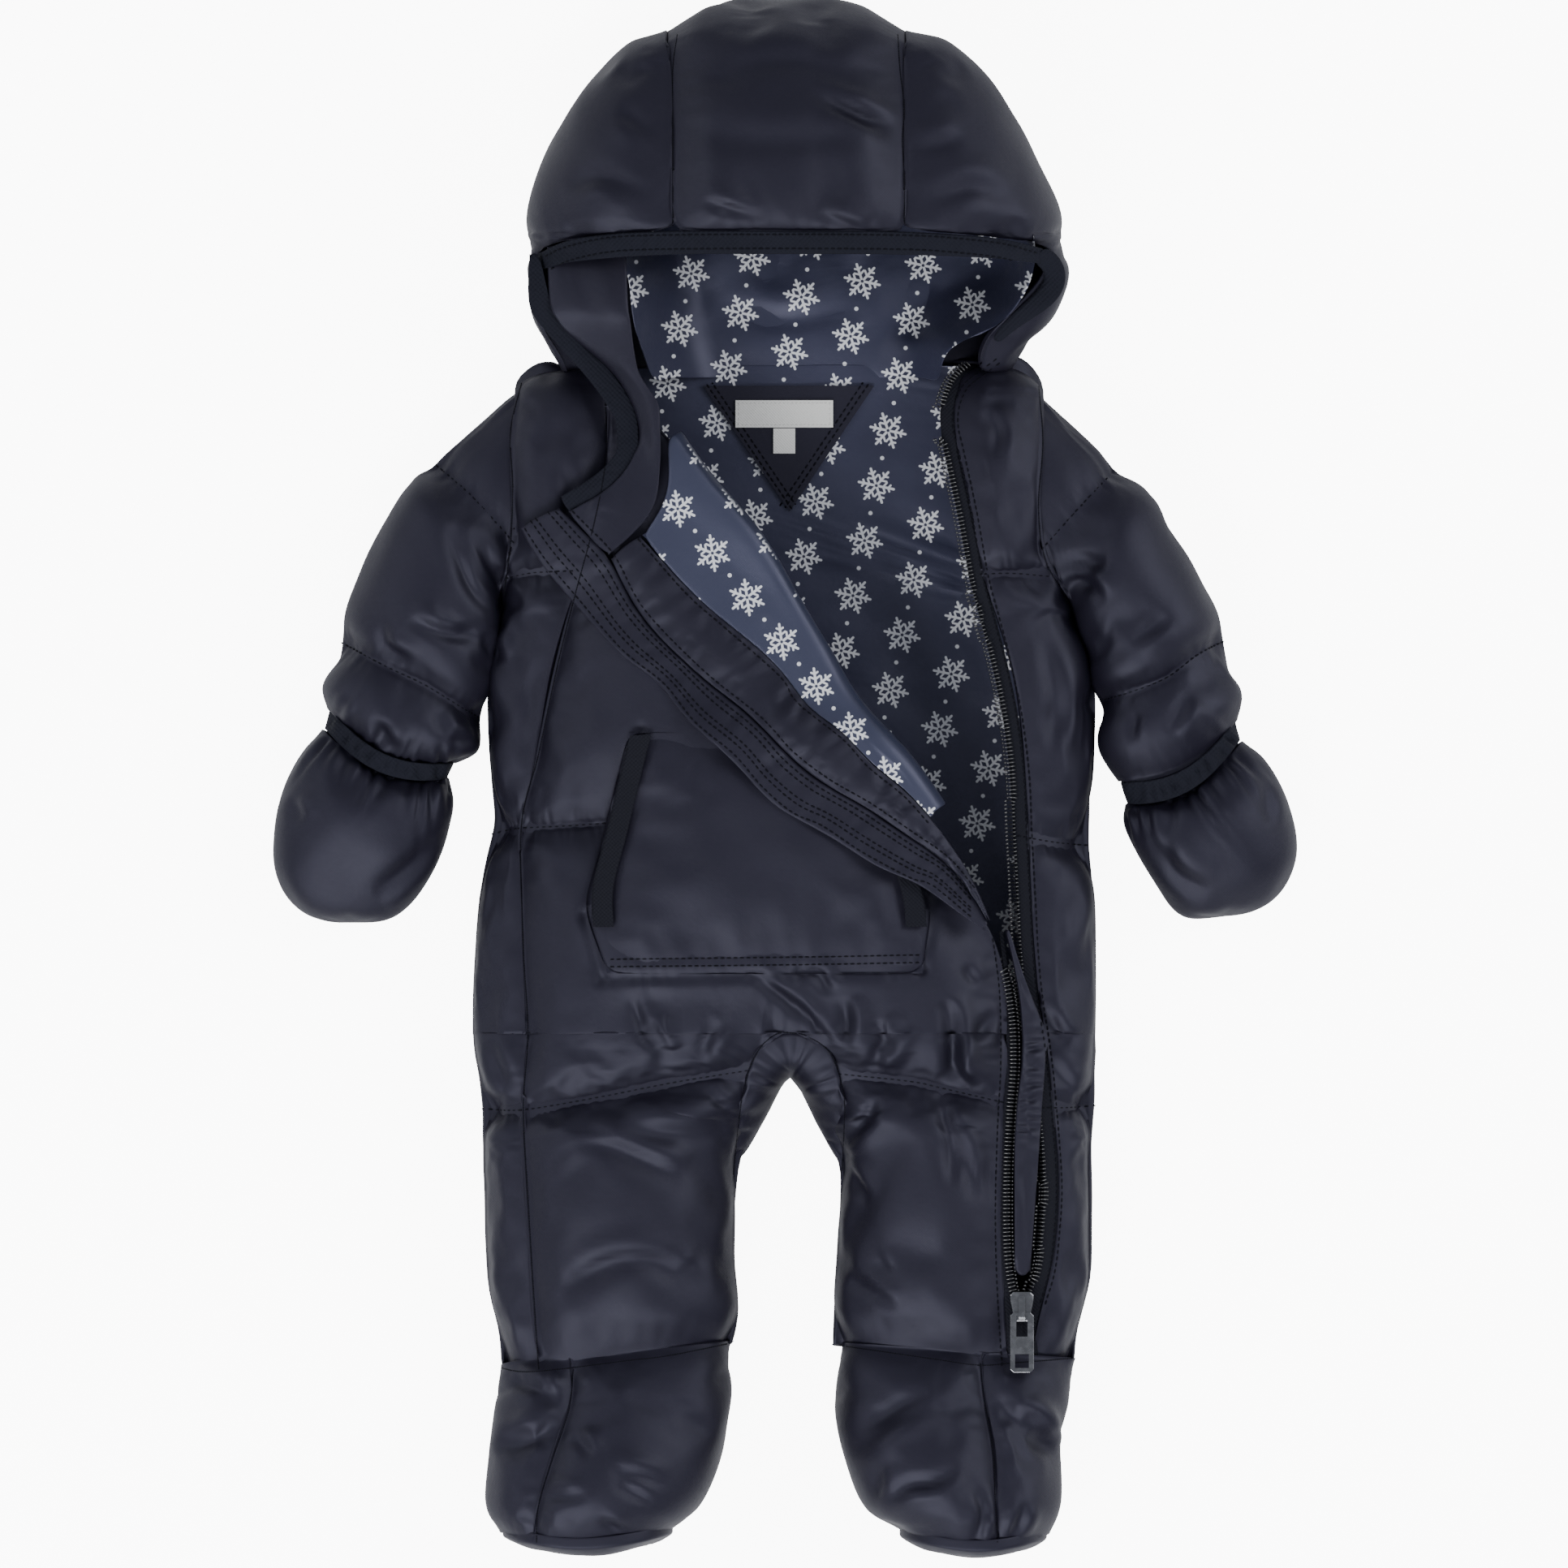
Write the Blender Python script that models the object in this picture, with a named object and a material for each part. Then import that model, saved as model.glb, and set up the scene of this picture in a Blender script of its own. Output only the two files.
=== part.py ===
"""Padded baby snowsuit with hood, mittens and booties, laid on its back and half unzipped.

+X is to the right of someone looking down at the suit, +Y runs towards the hood, +Z is up.
The origin is the middle of the suit's outline, on the surface that it lies on. Tables and
functions work in millimetres, and solid() turns them into metres.
"""
import math

import bpy
import numpy as np

# ---------------------------------------------------------------- driving dimensions (mm)
MM = 0.001
MIDDLE = (0.573, 0.697)    # middle of the laid-out suit in the tables below
SEAM_GAP = 0.4            # space between two pieces that are sewn together
SEAM_THICK = 2.5          # shell, wadding and lining pressed together under a stitch line
LOFT = 8.0                # padded wall between two stitch lines
UNDER_THICK = 4.0         # padded wall where the suit's weight presses it flat
PUFF_REACH = 24.0         # distance from a stitch line at which the wadding is at full loft
HOOD_PUFF_REACH = 17.0
SIDE_INSET = 6.5          # outline of the suit to the inside of its wall
UNDER_ROUND = 24.0        # radius with which the sides round under to the flat back
LINING_THICK = 1.2
TAPE_THICK = 1.2
TAPE_WIDTH = 10.0         # elastic binding and ribbed pocket tape
FLAP_THICK = 4.0          # turned-out front: shell, thin wadding and facing
FLAP_LIFT = 1.6           # turned-out front above the panel that it lies on
POCKET_THICK = 3.0
POCKET_CLEAR = 0.6
PANEL_TOP = 8.5           # inner face of the front panel to the top of its wadding, measured upright
OVER_POCKET = dict(from_y=45.0, length=25.0)  # where the turned-out front climbs onto the pocket
ZIP_TAPE_VISIBLE = 7.0    # from the teeth to the edge of the shell
SLIDER = dict(x=110.3, top_y=-234.5, low_y=-248.5, width=11.0, thick=4.4, z=46.4)
PULL = dict(width=11.0, length=28.0, thick=1.6, slot_width=5.2, slot_length=9.6, window=6.4,
            bar=1.7, axis_rise=1.35)
BRIDGE = dict(width=3.0, length=11.0, strap=1.4, rise=2.8)
GUSSET_EASE = 1.0         # from the gusset's edge to the panels that it is sewn to
GUSSET_LAST = 6           # station of the legs at which the gusset tapers out
GUSSET_THICK = 5.0
SHOULDER_EASE = 0.6       # share of the inset with which a sleeve starts at the shoulder
ARMHOLE_GAP = 0.9
UNDERARM_EASE = dict(from_y=112.0, length=14.0, more=1.8)  # wider seam gap at the underarm
UNDERARM_Y = 99.0         # above it, the torso's edge stands upright against the sleeve
SLEEVE_JOIN = 1.8         # rings over which a sleeve swells out of the torso's surface
CUFF_GAP = 1.1
PRESSED_RINGS = 1.0       # rings over which the wadding thins towards a sewn end
CUFF_THICK = 2.6
SOLE_BULGE = 6.5
SOLE_THICK = 5.0
CROWN = dict(start_y=334.0, y=354.0, drop=8.5, corner=1.0, edge_lift=66.0)
ROLL = dict(start=9.0, clear=2.4, share=0.6, least=0.4, rows=[
    dict(back=5.8, level=0.93, tilt=45), dict(back=4.4, level=0.5, tilt=90),
    dict(back=5.8, level=0.07, tilt=135), dict(back=9.5, level=0.0, tilt=180)])
LINED_THICK = 3.6
GUARD_THICK = 2.4
BINDING_THICK = 3.0
BRIM_THICK = 4.0
POCKET_PUFF = 1.5
POCKET_TAPE_END = -66.0
LINING_CLEAR = 1.0
LINING_COLUMNS = slice(3, 9)  # of the back's columns, those that the lining lies on
HOOD_LINING_Z = 6.2
HOOD_LINING_SLOPE = 34.0
TAPE_RAISE = 0.8
GUARD_OFFSET = 2.6
GUARD_RAISE = 4.4
SIDE_ANGLE = 1.2          # degrees from the outline at which front and back are sewn together
TURN_INSET = 11.0         # from the fold of the turned-out front to the edge of the panel under it
FACING_EXTRA = 2.0        # wadding in the facings of the turned-out front
BACK_SPREAD = (0, 0.05, 0.11, 0.2, 0.38, 0.62, 0.8, 0.89, 0.95, 1)
RING = (4, 18, 36, 60, 85, 112, 138, 160, 176, 188, 204, 240, 290, 330, 350)

# ---------------------------------------------------------------- section tables (mm)
# Each row is one ring of a sewn tube, from its left point to its right point in plan.
# top is the height of the padded front over the middle of that ring, bow moves the ring's
# front half along the tube, and side is the height of its outline.
TORSO_ROWS = [
    dict(left=(-98, 191), right=(101, 193), top=38, bow=0, side=24),
    dict(left=(-115, 187), right=(112, 188), top=42, bow=0, side=24),
    dict(left=(-130, 182), right=(126, 182), top=46, bow=0, side=24),
    dict(left=(-141, 174), right=(137, 174), top=50, bow=0, side=24),
    dict(left=(-156, 156), right=(152, 156), top=55, bow=0, side=24),
    dict(left=(-164, 134), right=(160, 132), top=58, bow=0, side=24),
    dict(left=(-154, 110), right=(152, 104), top=59, bow=0, side=24),
    dict(left=(-139, 97), right=(144, 96), top=59, bow=0, side=24),
    dict(left=(-129, 86), right=(134, 84), top=59, bow=0, side=24),
    dict(left=(-128, 74), right=(131, 74), top=60, bow=0, side=24),
    dict(left=(-131, 50), right=(138, 50), top=61, bow=0, side=24),
    dict(left=(-134, 22), right=(141, 22), top=61, bow=0, side=24),
    dict(left=(-134, -3), right=(141, -3), top=60, bow=0, side=24),
    dict(left=(-133, -20), right=(141, -27), top=60, bow=0, side=24),
    dict(left=(-138, -40), right=(142, -44), top=60, bow=0, side=24),
    dict(left=(-141, -68), right=(143, -68), top=60, bow=0, side=24),
    dict(left=(-142, -94), right=(143, -94), top=59, bow=0, side=24),
    dict(left=(-142, -115), right=(143, -115), top=58, bow=0, side=24),
]
LEG_RIGHT_ROWS = [
    dict(left=(-142, -115), right=(143, -115), top=58, bow=0, side=24),
    dict(left=(-140, -134), right=(62, -124), top=57, bow=0, side=24),
    dict(left=(-138, -151), right=(20, -133), top=56, bow=0, side=24),
    dict(left=(-138, -165), right=(-6, -148), top=56, bow=0, side=24),
    dict(left=(-138, -180), right=(-20, -170), top=56, bow=0, side=24),
    dict(left=(-137, -202), right=(-23, -196), top=56, bow=0, side=24),
    dict(left=(-136, -228), right=(-24, -222), top=54, bow=0, side=24),
    dict(left=(-134, -250), right=(-22, -242), top=52, bow=0, side=24),
    dict(left=(-132, -270), right=(-21, -258), top=50, bow=0, side=24),
]
LEG_LEFT_ROWS = [
    dict(left=(-142, -115), right=(143, -115), top=58, bow=0, side=24),
    dict(left=(-56, -124), right=(143, -132), top=57, bow=0, side=24),
    dict(left=(-12, -134), right=(143, -148), top=56, bow=0, side=24),
    dict(left=(12, -150), right=(142, -163), top=56, bow=0, side=24),
    dict(left=(26, -172), right=(142, -180), top=56, bow=0, side=24),
    dict(left=(27, -198), right=(142, -203), top=56, bow=0, side=24),
    dict(left=(26, -222), right=(141, -228), top=54, bow=0, side=24),
    dict(left=(25, -242), right=(139, -250), top=52, bow=0, side=24),
    dict(left=(24, -259), right=(137, -267), top=50, bow=0, side=24),
]
BOOT_RIGHT_ROWS = [
    dict(left=(-132, -271), right=(-21, -259), top=50, bow=0, side=24),
    dict(left=(-133, -289), right=(-21, -283), top=57, bow=0, side=26),
    dict(left=(-135, -310), right=(-24, -305), top=64, bow=0, side=28),
    dict(left=(-137, -328), right=(-32, -324), top=68, bow=2, side=30),
    dict(left=(-135, -345), right=(-45, -342), top=66, bow=7, side=30),
]
BOOT_LEFT_ROWS = [
    dict(left=(24, -260), right=(137, -268), top=50, bow=0, side=24),
    dict(left=(22, -283), right=(132, -288), top=57, bow=0, side=26),
    dict(left=(24, -305), right=(127, -308), top=64, bow=0, side=28),
    dict(left=(33, -325), right=(128, -328), top=68, bow=2, side=30),
    dict(left=(48, -343), right=(127, -346), top=66, bow=7, side=30),
]
SLEEVE_RIGHT_ROWS = [
    dict(left=(-121, 185), right=(-129, 86), top=50, bow=0, side=24),
    dict(left=(-158, 154), right=(-132, 80), top=52, bow=0, side=24),
    dict(left=(-176, 131), right=(-134, 67), top=52, bow=0, side=23),
    dict(left=(-190, 104), right=(-136, 52), top=51, bow=0, side=22),
    dict(left=(-200, 81), right=(-137, 38), top=50, bow=0, side=21),
    dict(left=(-206, 62), right=(-138, 25), top=48, bow=0, side=20),
    dict(left=(-212, 46), right=(-141, 15), top=46, bow=4, side=19),
    dict(left=(-214, 37), right=(-147, 9), top=40, bow=9, side=18),
]
SLEEVE_LEFT_ROWS = [
    dict(left=(118, 185), right=(131, 84), top=50, bow=0, side=24),
    dict(left=(155, 149), right=(136, 77), top=52, bow=0, side=24),
    dict(left=(171, 127), right=(141, 66), top=52, bow=0, side=23),
    dict(left=(186, 103), right=(144, 54), top=51, bow=0, side=22),
    dict(left=(198, 80), right=(145, 42), top=50, bow=0, side=21),
    dict(left=(208, 57), right=(145, 30), top=48, bow=0, side=20),
    dict(left=(211, 43), right=(146, 14), top=46, bow=4, side=19),
    dict(left=(213, 32), right=(151, 0), top=40, bow=9, side=18),
]
MITTEN_RIGHT_ROWS = [
    dict(left=(-217, 26), right=(-151, 0), top=38, bow=9, side=18),
    dict(left=(-226, 4), right=(-154, -12), top=44, bow=6, side=18),
    dict(left=(-233, -18), right=(-158, -25), top=42, bow=3, side=17),
    dict(left=(-233, -39), right=(-165, -40), top=37, bow=0, side=16),
    dict(left=(-224, -53), right=(-175, -53), top=30, bow=0, side=15),
    dict(left=(-211, -59), right=(-188, -59), top=22, bow=0, side=14),
]
MITTEN_LEFT_ROWS = [
    dict(left=(216, 21), right=(155, -12), top=38, bow=9, side=18),
    dict(left=(227, 1), right=(160, -22), top=44, bow=6, side=18),
    dict(left=(234, -19), right=(168, -35), top=42, bow=3, side=17),
    dict(left=(234, -36), right=(174, -46), top=37, bow=0, side=16),
    dict(left=(226, -48), right=(181, -54), top=30, bow=0, side=15),
    dict(left=(214, -54), right=(193, -57), top=22, bow=0, side=14),
]
HOOD_ROWS = [
    dict(left=(-100, 193), right=(105, 195), top=60, bow=0, side=26),
    dict(left=(-106, 204), right=(113, 206), top=66, bow=0, side=30),
    dict(left=(-117, 219), right=(127, 221), top=74, bow=0, side=34),
    dict(left=(-119, 236), right=(132, 238), top=84, bow=0, side=38),
    dict(left=(-119, 251), right=(130, 251), top=90, bow=0, side=38),
    dict(left=(-115, 270), right=(124, 270), top=90, bow=0, side=38),
    dict(left=(-107, 291), right=(113, 291), top=87, bow=0, side=38),
    dict(left=(-94, 313), right=(100, 313), top=80, bow=0, side=38),
    dict(left=(-75, 333), right=(82, 333), top=71, bow=0, side=38),
    dict(left=(-58, 346), right=(64, 346), top=60, bow=0, side=37),
]
HOOD_STATIONS_Y = (195, 206, 219, 232, 240, 246, 250, 253.5, 256.5, 264, 280, 298, 314, 326)

# ---------------------------------------------------------------- seams and edges in plan (mm)
ARMHOLE_RIGHT = [(-121, 185), (-126, 163), (-125, 137), (-126, 111), (-129, 86)]
ARMHOLE_LEFT = [(118, 185), (120, 158), (118, 128), (121, 104), (131, 84)]
SIDE_SEAM_RIGHT = [(-86, 194), (-82, 176), (-82, 150), (-87, 122), (-96, 88), (-104, 56), (-113, 14),
                   (-121, -20), (-120, -76), (-118, -115), (-120, -150), (-118, -190),
                   (-115, -240), (-113, -272)]
CHEST_STITCH = [(-131, 96), (-95, 99), (0, 99), (93, 97), (131, 96)]
WAIST_STITCH = [(-133, -22), (-120, -20), (-82, -18), (0, -18), (105, -24), (141, -28)]
THIGH_STITCH_RIGHT = [(-138, -151), (-119, -150), (-86, -146), (-50, -138), (-18, -133)]
THIGH_STITCH_LEFT = [(27, -134), (61, -138), (89, -146), (104, -148), (142, -148)]
GUSSET_SEAM = [(-23, -180), (-21, -160), (-18, -140), (-12, -124), (-4, -116), (4, -115),
               (12, -117), (22, -125), (28, -144), (28, -162), (27, -181)]
CROTCH_EDGE = [(-12.5, -150), (-9, -144.5), (-5.5, -138.5), (-1.5, -133.5), (3, -131),
               (7.5, -133.5), (12, -139), (15.5, -145), (18.5, -152)]
FOLD_EDGE = [(-46, 163), (-39, 151), (-29, 141), (-21, 131), (-11, 119), (1, 100),
             (13, 79), (22, 65), (32, 46), (50, 25), (60, 13), (68, 3), (74, -9),
             (81, -28), (90, -45), (98, -62)]
LINING_SEAM = [(-66, 115), (-43, 89), (-26, 74), (0, 51), (8, 39), (29, 22), (41, 9),
               (57, -4), (68, -16)]
FOLD_LINED = 13           # points of the fold edge along which the lining shows
FACING_END = [(78.5, -30), (88, -46), (95.5, -61)]
NECK_SEAM_TURNED = [(-66, 115), (-59, 123), (-55, 132), (-53, 145)]
GUARD_SEAM = [(-103, 128), (-92, 117), (-80, 104), (-66, 79), (-39, 51), (-12, 29),
              (3, 13), (20, 0), (39, -11), (58, -24), (75, -36), (86, -49), (93, -61)]
GUARD_EDGE = [(-122, 118), (-111, 101), (-94, 81), (-75, 60), (-56, 45), (-42, 27),
              (-24, 12), (-11, -3), (3, -15), (17, -21), (35, -33), (58, -45), (68, -48),
              (75, -55), (86, -62), (93.5, -68)]
ZIP_LEFT_TEETH = [(94, 201), (86, 195), (78, 188), (73, 177), (72, 165), (75, 151),
                  (81, 123), (86, 95), (91, 76), (97, 53), (102, 28), (105, 3), (106, -20),
                  (107, -39), (108, -58), (109, -77), (111, -99), (115, -125), (118, -155),
                  (120, -185), (119, -206), (117, -223), (113, -237)]
ZIP_RIGHT_TEETH = [(99, -75), (103, -86), (105, -95), (107, -110), (107.5, -130),
                   (106, -150), (104.5, -181), (104.5, -211), (106, -228), (108, -237)]
FRONT_ZIP_EDGE = [(99, -72), (102, -97), (102.5, -130), (101, -160), (100, -200),
                  (101, -236), (103, -272)]
CHEEK_FOLD = [(-73, 232, 60), (-71, 216, 59), (-69, 200, 58), (-66, 188, 59),
              (-58, 176, 61), (-46, 163, 63)]
POCKET = dict(top_left=(-71, 23), top_right=(38, 23), side_right=(68, -58),
              bottom_right=(64, -84), bottom_left=(-81, -87), side_left=(-91, -58))
BOOT_SEAM_RIGHT = [(-97, -271), (-99, -289), (-106, -310), (-113, -333), (-114, -350)]
BOOT_SEAM_LEFT = [(91, -268), (93, -285), (97, -309), (98, -332), (99, -350)]
HOOD_SEAM_RIGHT = [(-37, 186), (-34, 205), (-30, 230), (-51, 262), (-51, 302), (-52, 352)]
HOOD_SEAM_LEFT = [(43, 186), (44, 205), (44, 230), (56, 262), (56, 302), (55, 352)]
UPPER_STITCH_RIGHT = [(-162, 149), (-151, 141), (-140, 132), (-132, 122), (-126, 112)]
ELBOW_STITCH_RIGHT = [(-208, 62), (-197, 61), (-185, 56), (-170, 46), (-156, 39), (-136, 25)]
UPPER_STITCH_LEFT = [(158, 148), (145, 139), (135, 126), (120, 108)]
ELBOW_STITCH_LEFT = [(210, 59), (195, 52), (181, 42), (159, 33), (143, 28)]
BRIM_UPPER = [(-110, 245.5), (-101, 249.5), (-83, 253.5), (-60, 255), (0, 255.4), (56, 255),
              (80, 253.6), (102, 251), (117, 247)]
BRIM_LOWER = [(-110, 239), (-102, 242), (-83, 245), (-60, 246.5), (0, 247), (56, 246.5),
              (80, 245.5), (102, 243.5), (116, 240.5)]
HOOD_EDGE_RIGHT = [(-118, 190), (-118, 244), (-116, 246), (-101, 252), (-83, 255.5), (-51, 256.5),
                   (-51, 262), (-51, 302), (-52, 352)]
HOOD_EDGE_LEFT = [(92, 190), (90, 200), (94, 207), (106, 219), (118, 231), (121, 240), (123, 246),
                  (119, 250), (102, 253.5), (80, 255.5), (56, 256.5), (56, 262), (56, 302),
                  (55, 352)]
CHEEK_ROWS = [
    dict(out_x=-119, out_y=236, in_x=-110, in_y=233, fold_x=-73, fold_y=232, z_out=54, z_fold=60),
    dict(out_x=-116, out_y=218, in_x=-105, in_y=217, fold_x=-71, fold_y=216, z_out=53, z_fold=60),
    dict(out_x=-105, out_y=204, in_x=-95, in_y=205, fold_x=-69, fold_y=200, z_out=51, z_fold=59),
    dict(out_x=-90, out_y=187, in_x=-80, in_y=191, fold_x=-66, fold_y=188, z_out=51, z_fold=59),
    dict(out_x=-79, out_y=171, in_x=-70, in_y=176, fold_x=-58, fold_y=176, z_out=53, z_fold=60),
    dict(out_x=-77, out_y=161, in_x=-67, in_y=163, fold_x=-57, fold_y=164, z_out=54, z_fold=60),
    dict(out_x=-78, out_y=152, in_x=-69, in_y=150, fold_x=-57, fold_y=148, z_out=54, z_fold=60),
    dict(out_x=-88, out_y=142, in_x=-82, in_y=135, fold_x=-61, fold_y=126, z_out=54, z_fold=60),
    dict(out_x=-103, out_y=133, in_x=-99, in_y=126, fold_x=-80, fold_y=106, z_out=54, z_fold=60),
]
HOOD_LINING_ROWS = [
    dict(y=194, left=-60, right=72, left_z=46, right_z=30),
    dict(y=205, left=-66, right=78, left_z=52, right_z=42),
    dict(y=222, left=-69, right=94, left_z=54, right_z=50),
    dict(y=240, left=-72, right=102, left_z=56, right_z=54),
    dict(y=262, left=-84, right=100, left_z=58, right_z=56),
    dict(y=288, left=-82, right=92, left_z=52, right_z=52),
    dict(y=312, left=-66, right=74, left_z=40, right_z=40),
]
GUARD_LOW = [(98, -69), (107, -88), (117, -102), (120, -116), (119, -141), (118, -160),
             (116, -181), (113, -201), (112, -221), (111, -237)]
VEE = dict(left=(-37, 184), right=(42, 184), tip=(3, 126))
LABEL = dict(x=0.5, y=171.0, width=45.0, height=12.5)
SIZE_TAG = dict(x=0.5, y=158.5, width=10.0, height=11.5)

# ---------------------------------------------------------------- colours
NAVY = (0.010, 0.012, 0.022, 1.0)
NAVY_LINING = (0.016, 0.020, 0.036, 1.0)
NAVY_ELASTIC = (0.009, 0.010, 0.018, 1.0)
LABEL_WHITE = (0.80, 0.81, 0.80, 1.0)
BLACK_TAPE = (0.008, 0.008, 0.012, 1.0)
GUNMETAL = (0.30, 0.31, 0.33, 1.0)


# ---------------------------------------------------------------- curves and fields
def spline(stations, values, at):
    """Smooth curve through values at rising stations, read at the given places."""
    stations = np.asarray(stations, float)
    values = np.asarray(values, float)
    at = np.clip(np.asarray(at, float), stations[0], stations[-1])
    slopes = np.gradient(values, stations, axis=0)
    k = np.clip(np.searchsorted(stations, at, side="right") - 1, 0, len(stations) - 2)
    h = stations[k + 1] - stations[k]
    t = (at - stations[k]) / h
    if values.ndim > 1:
        h = h[..., None]
        t = t[..., None]
    h00 = 2 * t**3 - 3 * t**2 + 1
    h10 = t**3 - 2 * t**2 + t
    h01 = -2 * t**3 + 3 * t**2
    h11 = t**3 - t**2
    return h00 * values[k] + h10 * h * slopes[k] + h01 * values[k + 1] + h11 * h * slopes[k + 1]


def along(points, count=None, at=None):
    """Points at equal or given shares of the length of a smooth curve."""
    points = np.asarray(points, float)
    steps = np.linalg.norm(np.diff(points, axis=0), axis=1)
    stations = np.concatenate([[0.0], np.cumsum(steps)])
    shares = np.linspace(0.0, 1.0, count) if at is None else np.asarray(at, float)
    return spline(stations, points, shares * stations[-1])


def x_on(curve, y):
    """Plan x of a curve that runs down the suit, at a given y."""
    curve = np.asarray(curve, float)
    order = np.argsort(curve[:, 1])
    return np.interp(y, curve[order, 1], curve[order, 0])


def distance(points, curve):
    """Plan distance from each point to a curve of short straight runs."""
    points = np.asarray(points, float)[..., :2]
    best = np.full(points.shape[:-1], 1e9)
    curve = np.asarray(curve, float)[:, :2]
    for start, end in zip(curve[:-1], curve[1:]):
        run = end - start
        t = np.clip(((points - start) @ run) / (run @ run), 0.0, 1.0)
        best = np.minimum(best, np.linalg.norm(points - (start + t[..., None] * run), axis=-1))
    return best


def padding(points, stitches, loft=LOFT, pressed=SEAM_THICK, reach=PUFF_REACH):
    """Thickness of a padded wall: pressed under each stitch line, at full loft away from it."""
    nearest = np.full(np.asarray(points).shape[:-1], 1e9)
    for line in stitches:
        nearest = np.minimum(nearest, distance(points, line))
    share = np.clip(nearest / reach, 0.0, 1.0)
    return pressed + (loft - pressed) * np.sin(share * math.pi / 2) ** 0.8


# ---------------------------------------------------------------- sewn tubes
class Tube:
    """The inner face of a padded tube, from a table of rings; angle 0 is a ring's left point,
    90 the middle of its front, 180 its right point and 270 the middle of its back."""

    def __init__(self, rows, loft=LOFT, under=UNDER_THICK, lead=None):
        self.count = len(rows)
        self.ends = np.array([row["left"] + row["right"] for row in rows], float)
        self.shape = np.array([(row["top"] - loft, row["bow"], row["side"]) for row in rows])
        middle = (self.ends[:, :2] + self.ends[:, 2:]) / 2
        self.lead = middle[-1] - middle[0] if lead is None else np.array(lead, float)
        self.lead /= np.linalg.norm(self.lead)
        self.under = under
        self.sign = 1.0
        self.sign = math.copysign(1.0, self.normal(self.count / 2 - 0.5, 90.0)[2])

    def edges(self, s):
        stations = np.arange(self.count)
        ends = spline(stations, self.ends, s)
        top, bow, side = np.moveaxis(spline(stations, self.shape, s), -1, 0)
        left, right = ends[..., :2], ends[..., 2:]
        width = np.linalg.norm(right - left, axis=-1, keepdims=True)
        unit = (right - left) / width
        inset = self.left_inset(s)[..., None]
        return left + unit * inset, right - unit * SIDE_INSET, top, bow, side

    def left_inset(self, s):
        """Outline to inner face on the left, the same along the whole tube."""
        return np.full(np.shape(s), SIDE_INSET)

    def along_direction(self, s):
        """Level direction square to a ring, in which the next ring follows."""
        left, right, _, _, _ = self.edges(np.asarray(s, float))
        across = right - left
        made = np.stack([-across[..., 1], across[..., 0], 0 * across[..., 0]], axis=-1)
        return made / np.linalg.norm(made, axis=-1, keepdims=True)

    def point(self, s, angle):
        s, angle = np.broadcast_arrays(np.asarray(s, float), np.asarray(angle, float))
        left, right, top, bow, side = self.edges(s)
        turn = np.radians(angle)
        share = (1 - np.cos(turn)) / 2
        width = np.linalg.norm(right - left, axis=-1)
        over = np.sin(turn) > 0
        crown = np.sqrt(np.clip(1 - np.abs(np.cos(turn)) ** 2.8, 0, 1))
        z_front = side + (top - side) * crown
        radius = np.minimum(UNDER_ROUND, width * 0.45)
        inward = 1 - np.clip(width * np.minimum(share, 1 - share) / radius, 0, 1)
        z_back = self.under + (side - self.under) * (1 - np.sqrt(np.clip(1 - inward**2, 0, 1)))
        plan = left + (right - left) * share[..., None]
        plan = plan + self.lead * (bow * np.where(over, np.sin(turn) ** 2, 0.0))[..., None]
        return np.concatenate([plan, np.where(over, z_front, z_back)[..., None]], axis=-1)

    def normal(self, s, angle):
        s, angle = np.broadcast_arrays(np.asarray(s, float), np.asarray(angle, float))
        ds, da = 0.02, 1.5
        s_low = np.clip(s - ds, 0, self.count - 1)
        s_high = np.clip(s + ds, 0, self.count - 1)
        along_tube = self.point(s_high, angle) - self.point(s_low, angle)
        around = self.point(s, angle + da) - self.point(s, angle - da)
        out = np.cross(along_tube, around)
        return self.sign * out / np.linalg.norm(out, axis=-1, keepdims=True)

    def further(self, s, angle, length):
        """Angle that is a given length further round, on the inner face."""
        step = 0.5
        reach = np.linalg.norm(self.point(s, angle + step) - self.point(s, angle - step), axis=-1)
        return angle + 2 * step * length / reach

    def angle_of(self, s, curve, shift=0.0):
        """Angle at which the front half crosses a seam that runs down the tube."""
        left, right, _, _, _ = self.edges(np.asarray(s, float))
        share = np.full(np.shape(s), 0.5)
        for _ in range(12):
            plan = left + (right - left) * share[..., None]
            x = x_on(curve, plan[..., 1]) + shift
            share = np.clip((x - left[..., 0]) / (right[..., 0] - left[..., 0]), 0.0, 1.0)
        return np.degrees(np.arccos(1 - 2 * share))

    def share_over(self, x, y):
        """Ring and place across it over a plan point, for tubes with level rings."""
        row_y = (self.ends[:, 1] + self.ends[:, 3]) / 2
        s = np.interp(-np.asarray(y, float), -row_y, np.arange(self.count))
        left, right, top, _, side = self.edges(s)
        width = right[..., 0] - left[..., 0]
        return np.clip((x - left[..., 0]) / width, 0, 1), width, top, side

    def height(self, x, y):
        """Height of the inner face of the front over a plan point."""
        share, _, top, side = self.share_over(x, y)
        crown = np.sqrt(np.clip(1 - np.abs(1 - 2 * share) ** 2.8, 0, 1))
        return side + (top - side) * crown

    def back_height(self, x, y):
        """Height of the inner face of the back under a plan point."""
        share, width, _, side = self.share_over(x, y)
        inward = 1 - np.clip(width * np.minimum(share, 1 - share) / UNDER_ROUND, 0, 1)
        return self.under + (side - self.under) * (1 - np.sqrt(np.clip(1 - inward**2, 0, 1)))


# ---------------------------------------------------------------- solids
def material(name, colour, roughness, metallic=0.0):
    made = bpy.data.materials.new(name)
    made.use_nodes = True
    shader = made.node_tree.nodes["Principled BSDF"]
    shader.inputs["Base Color"].default_value = colour
    shader.inputs["Roughness"].default_value = roughness
    shader.inputs["Metallic"].default_value = metallic
    return made


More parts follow.
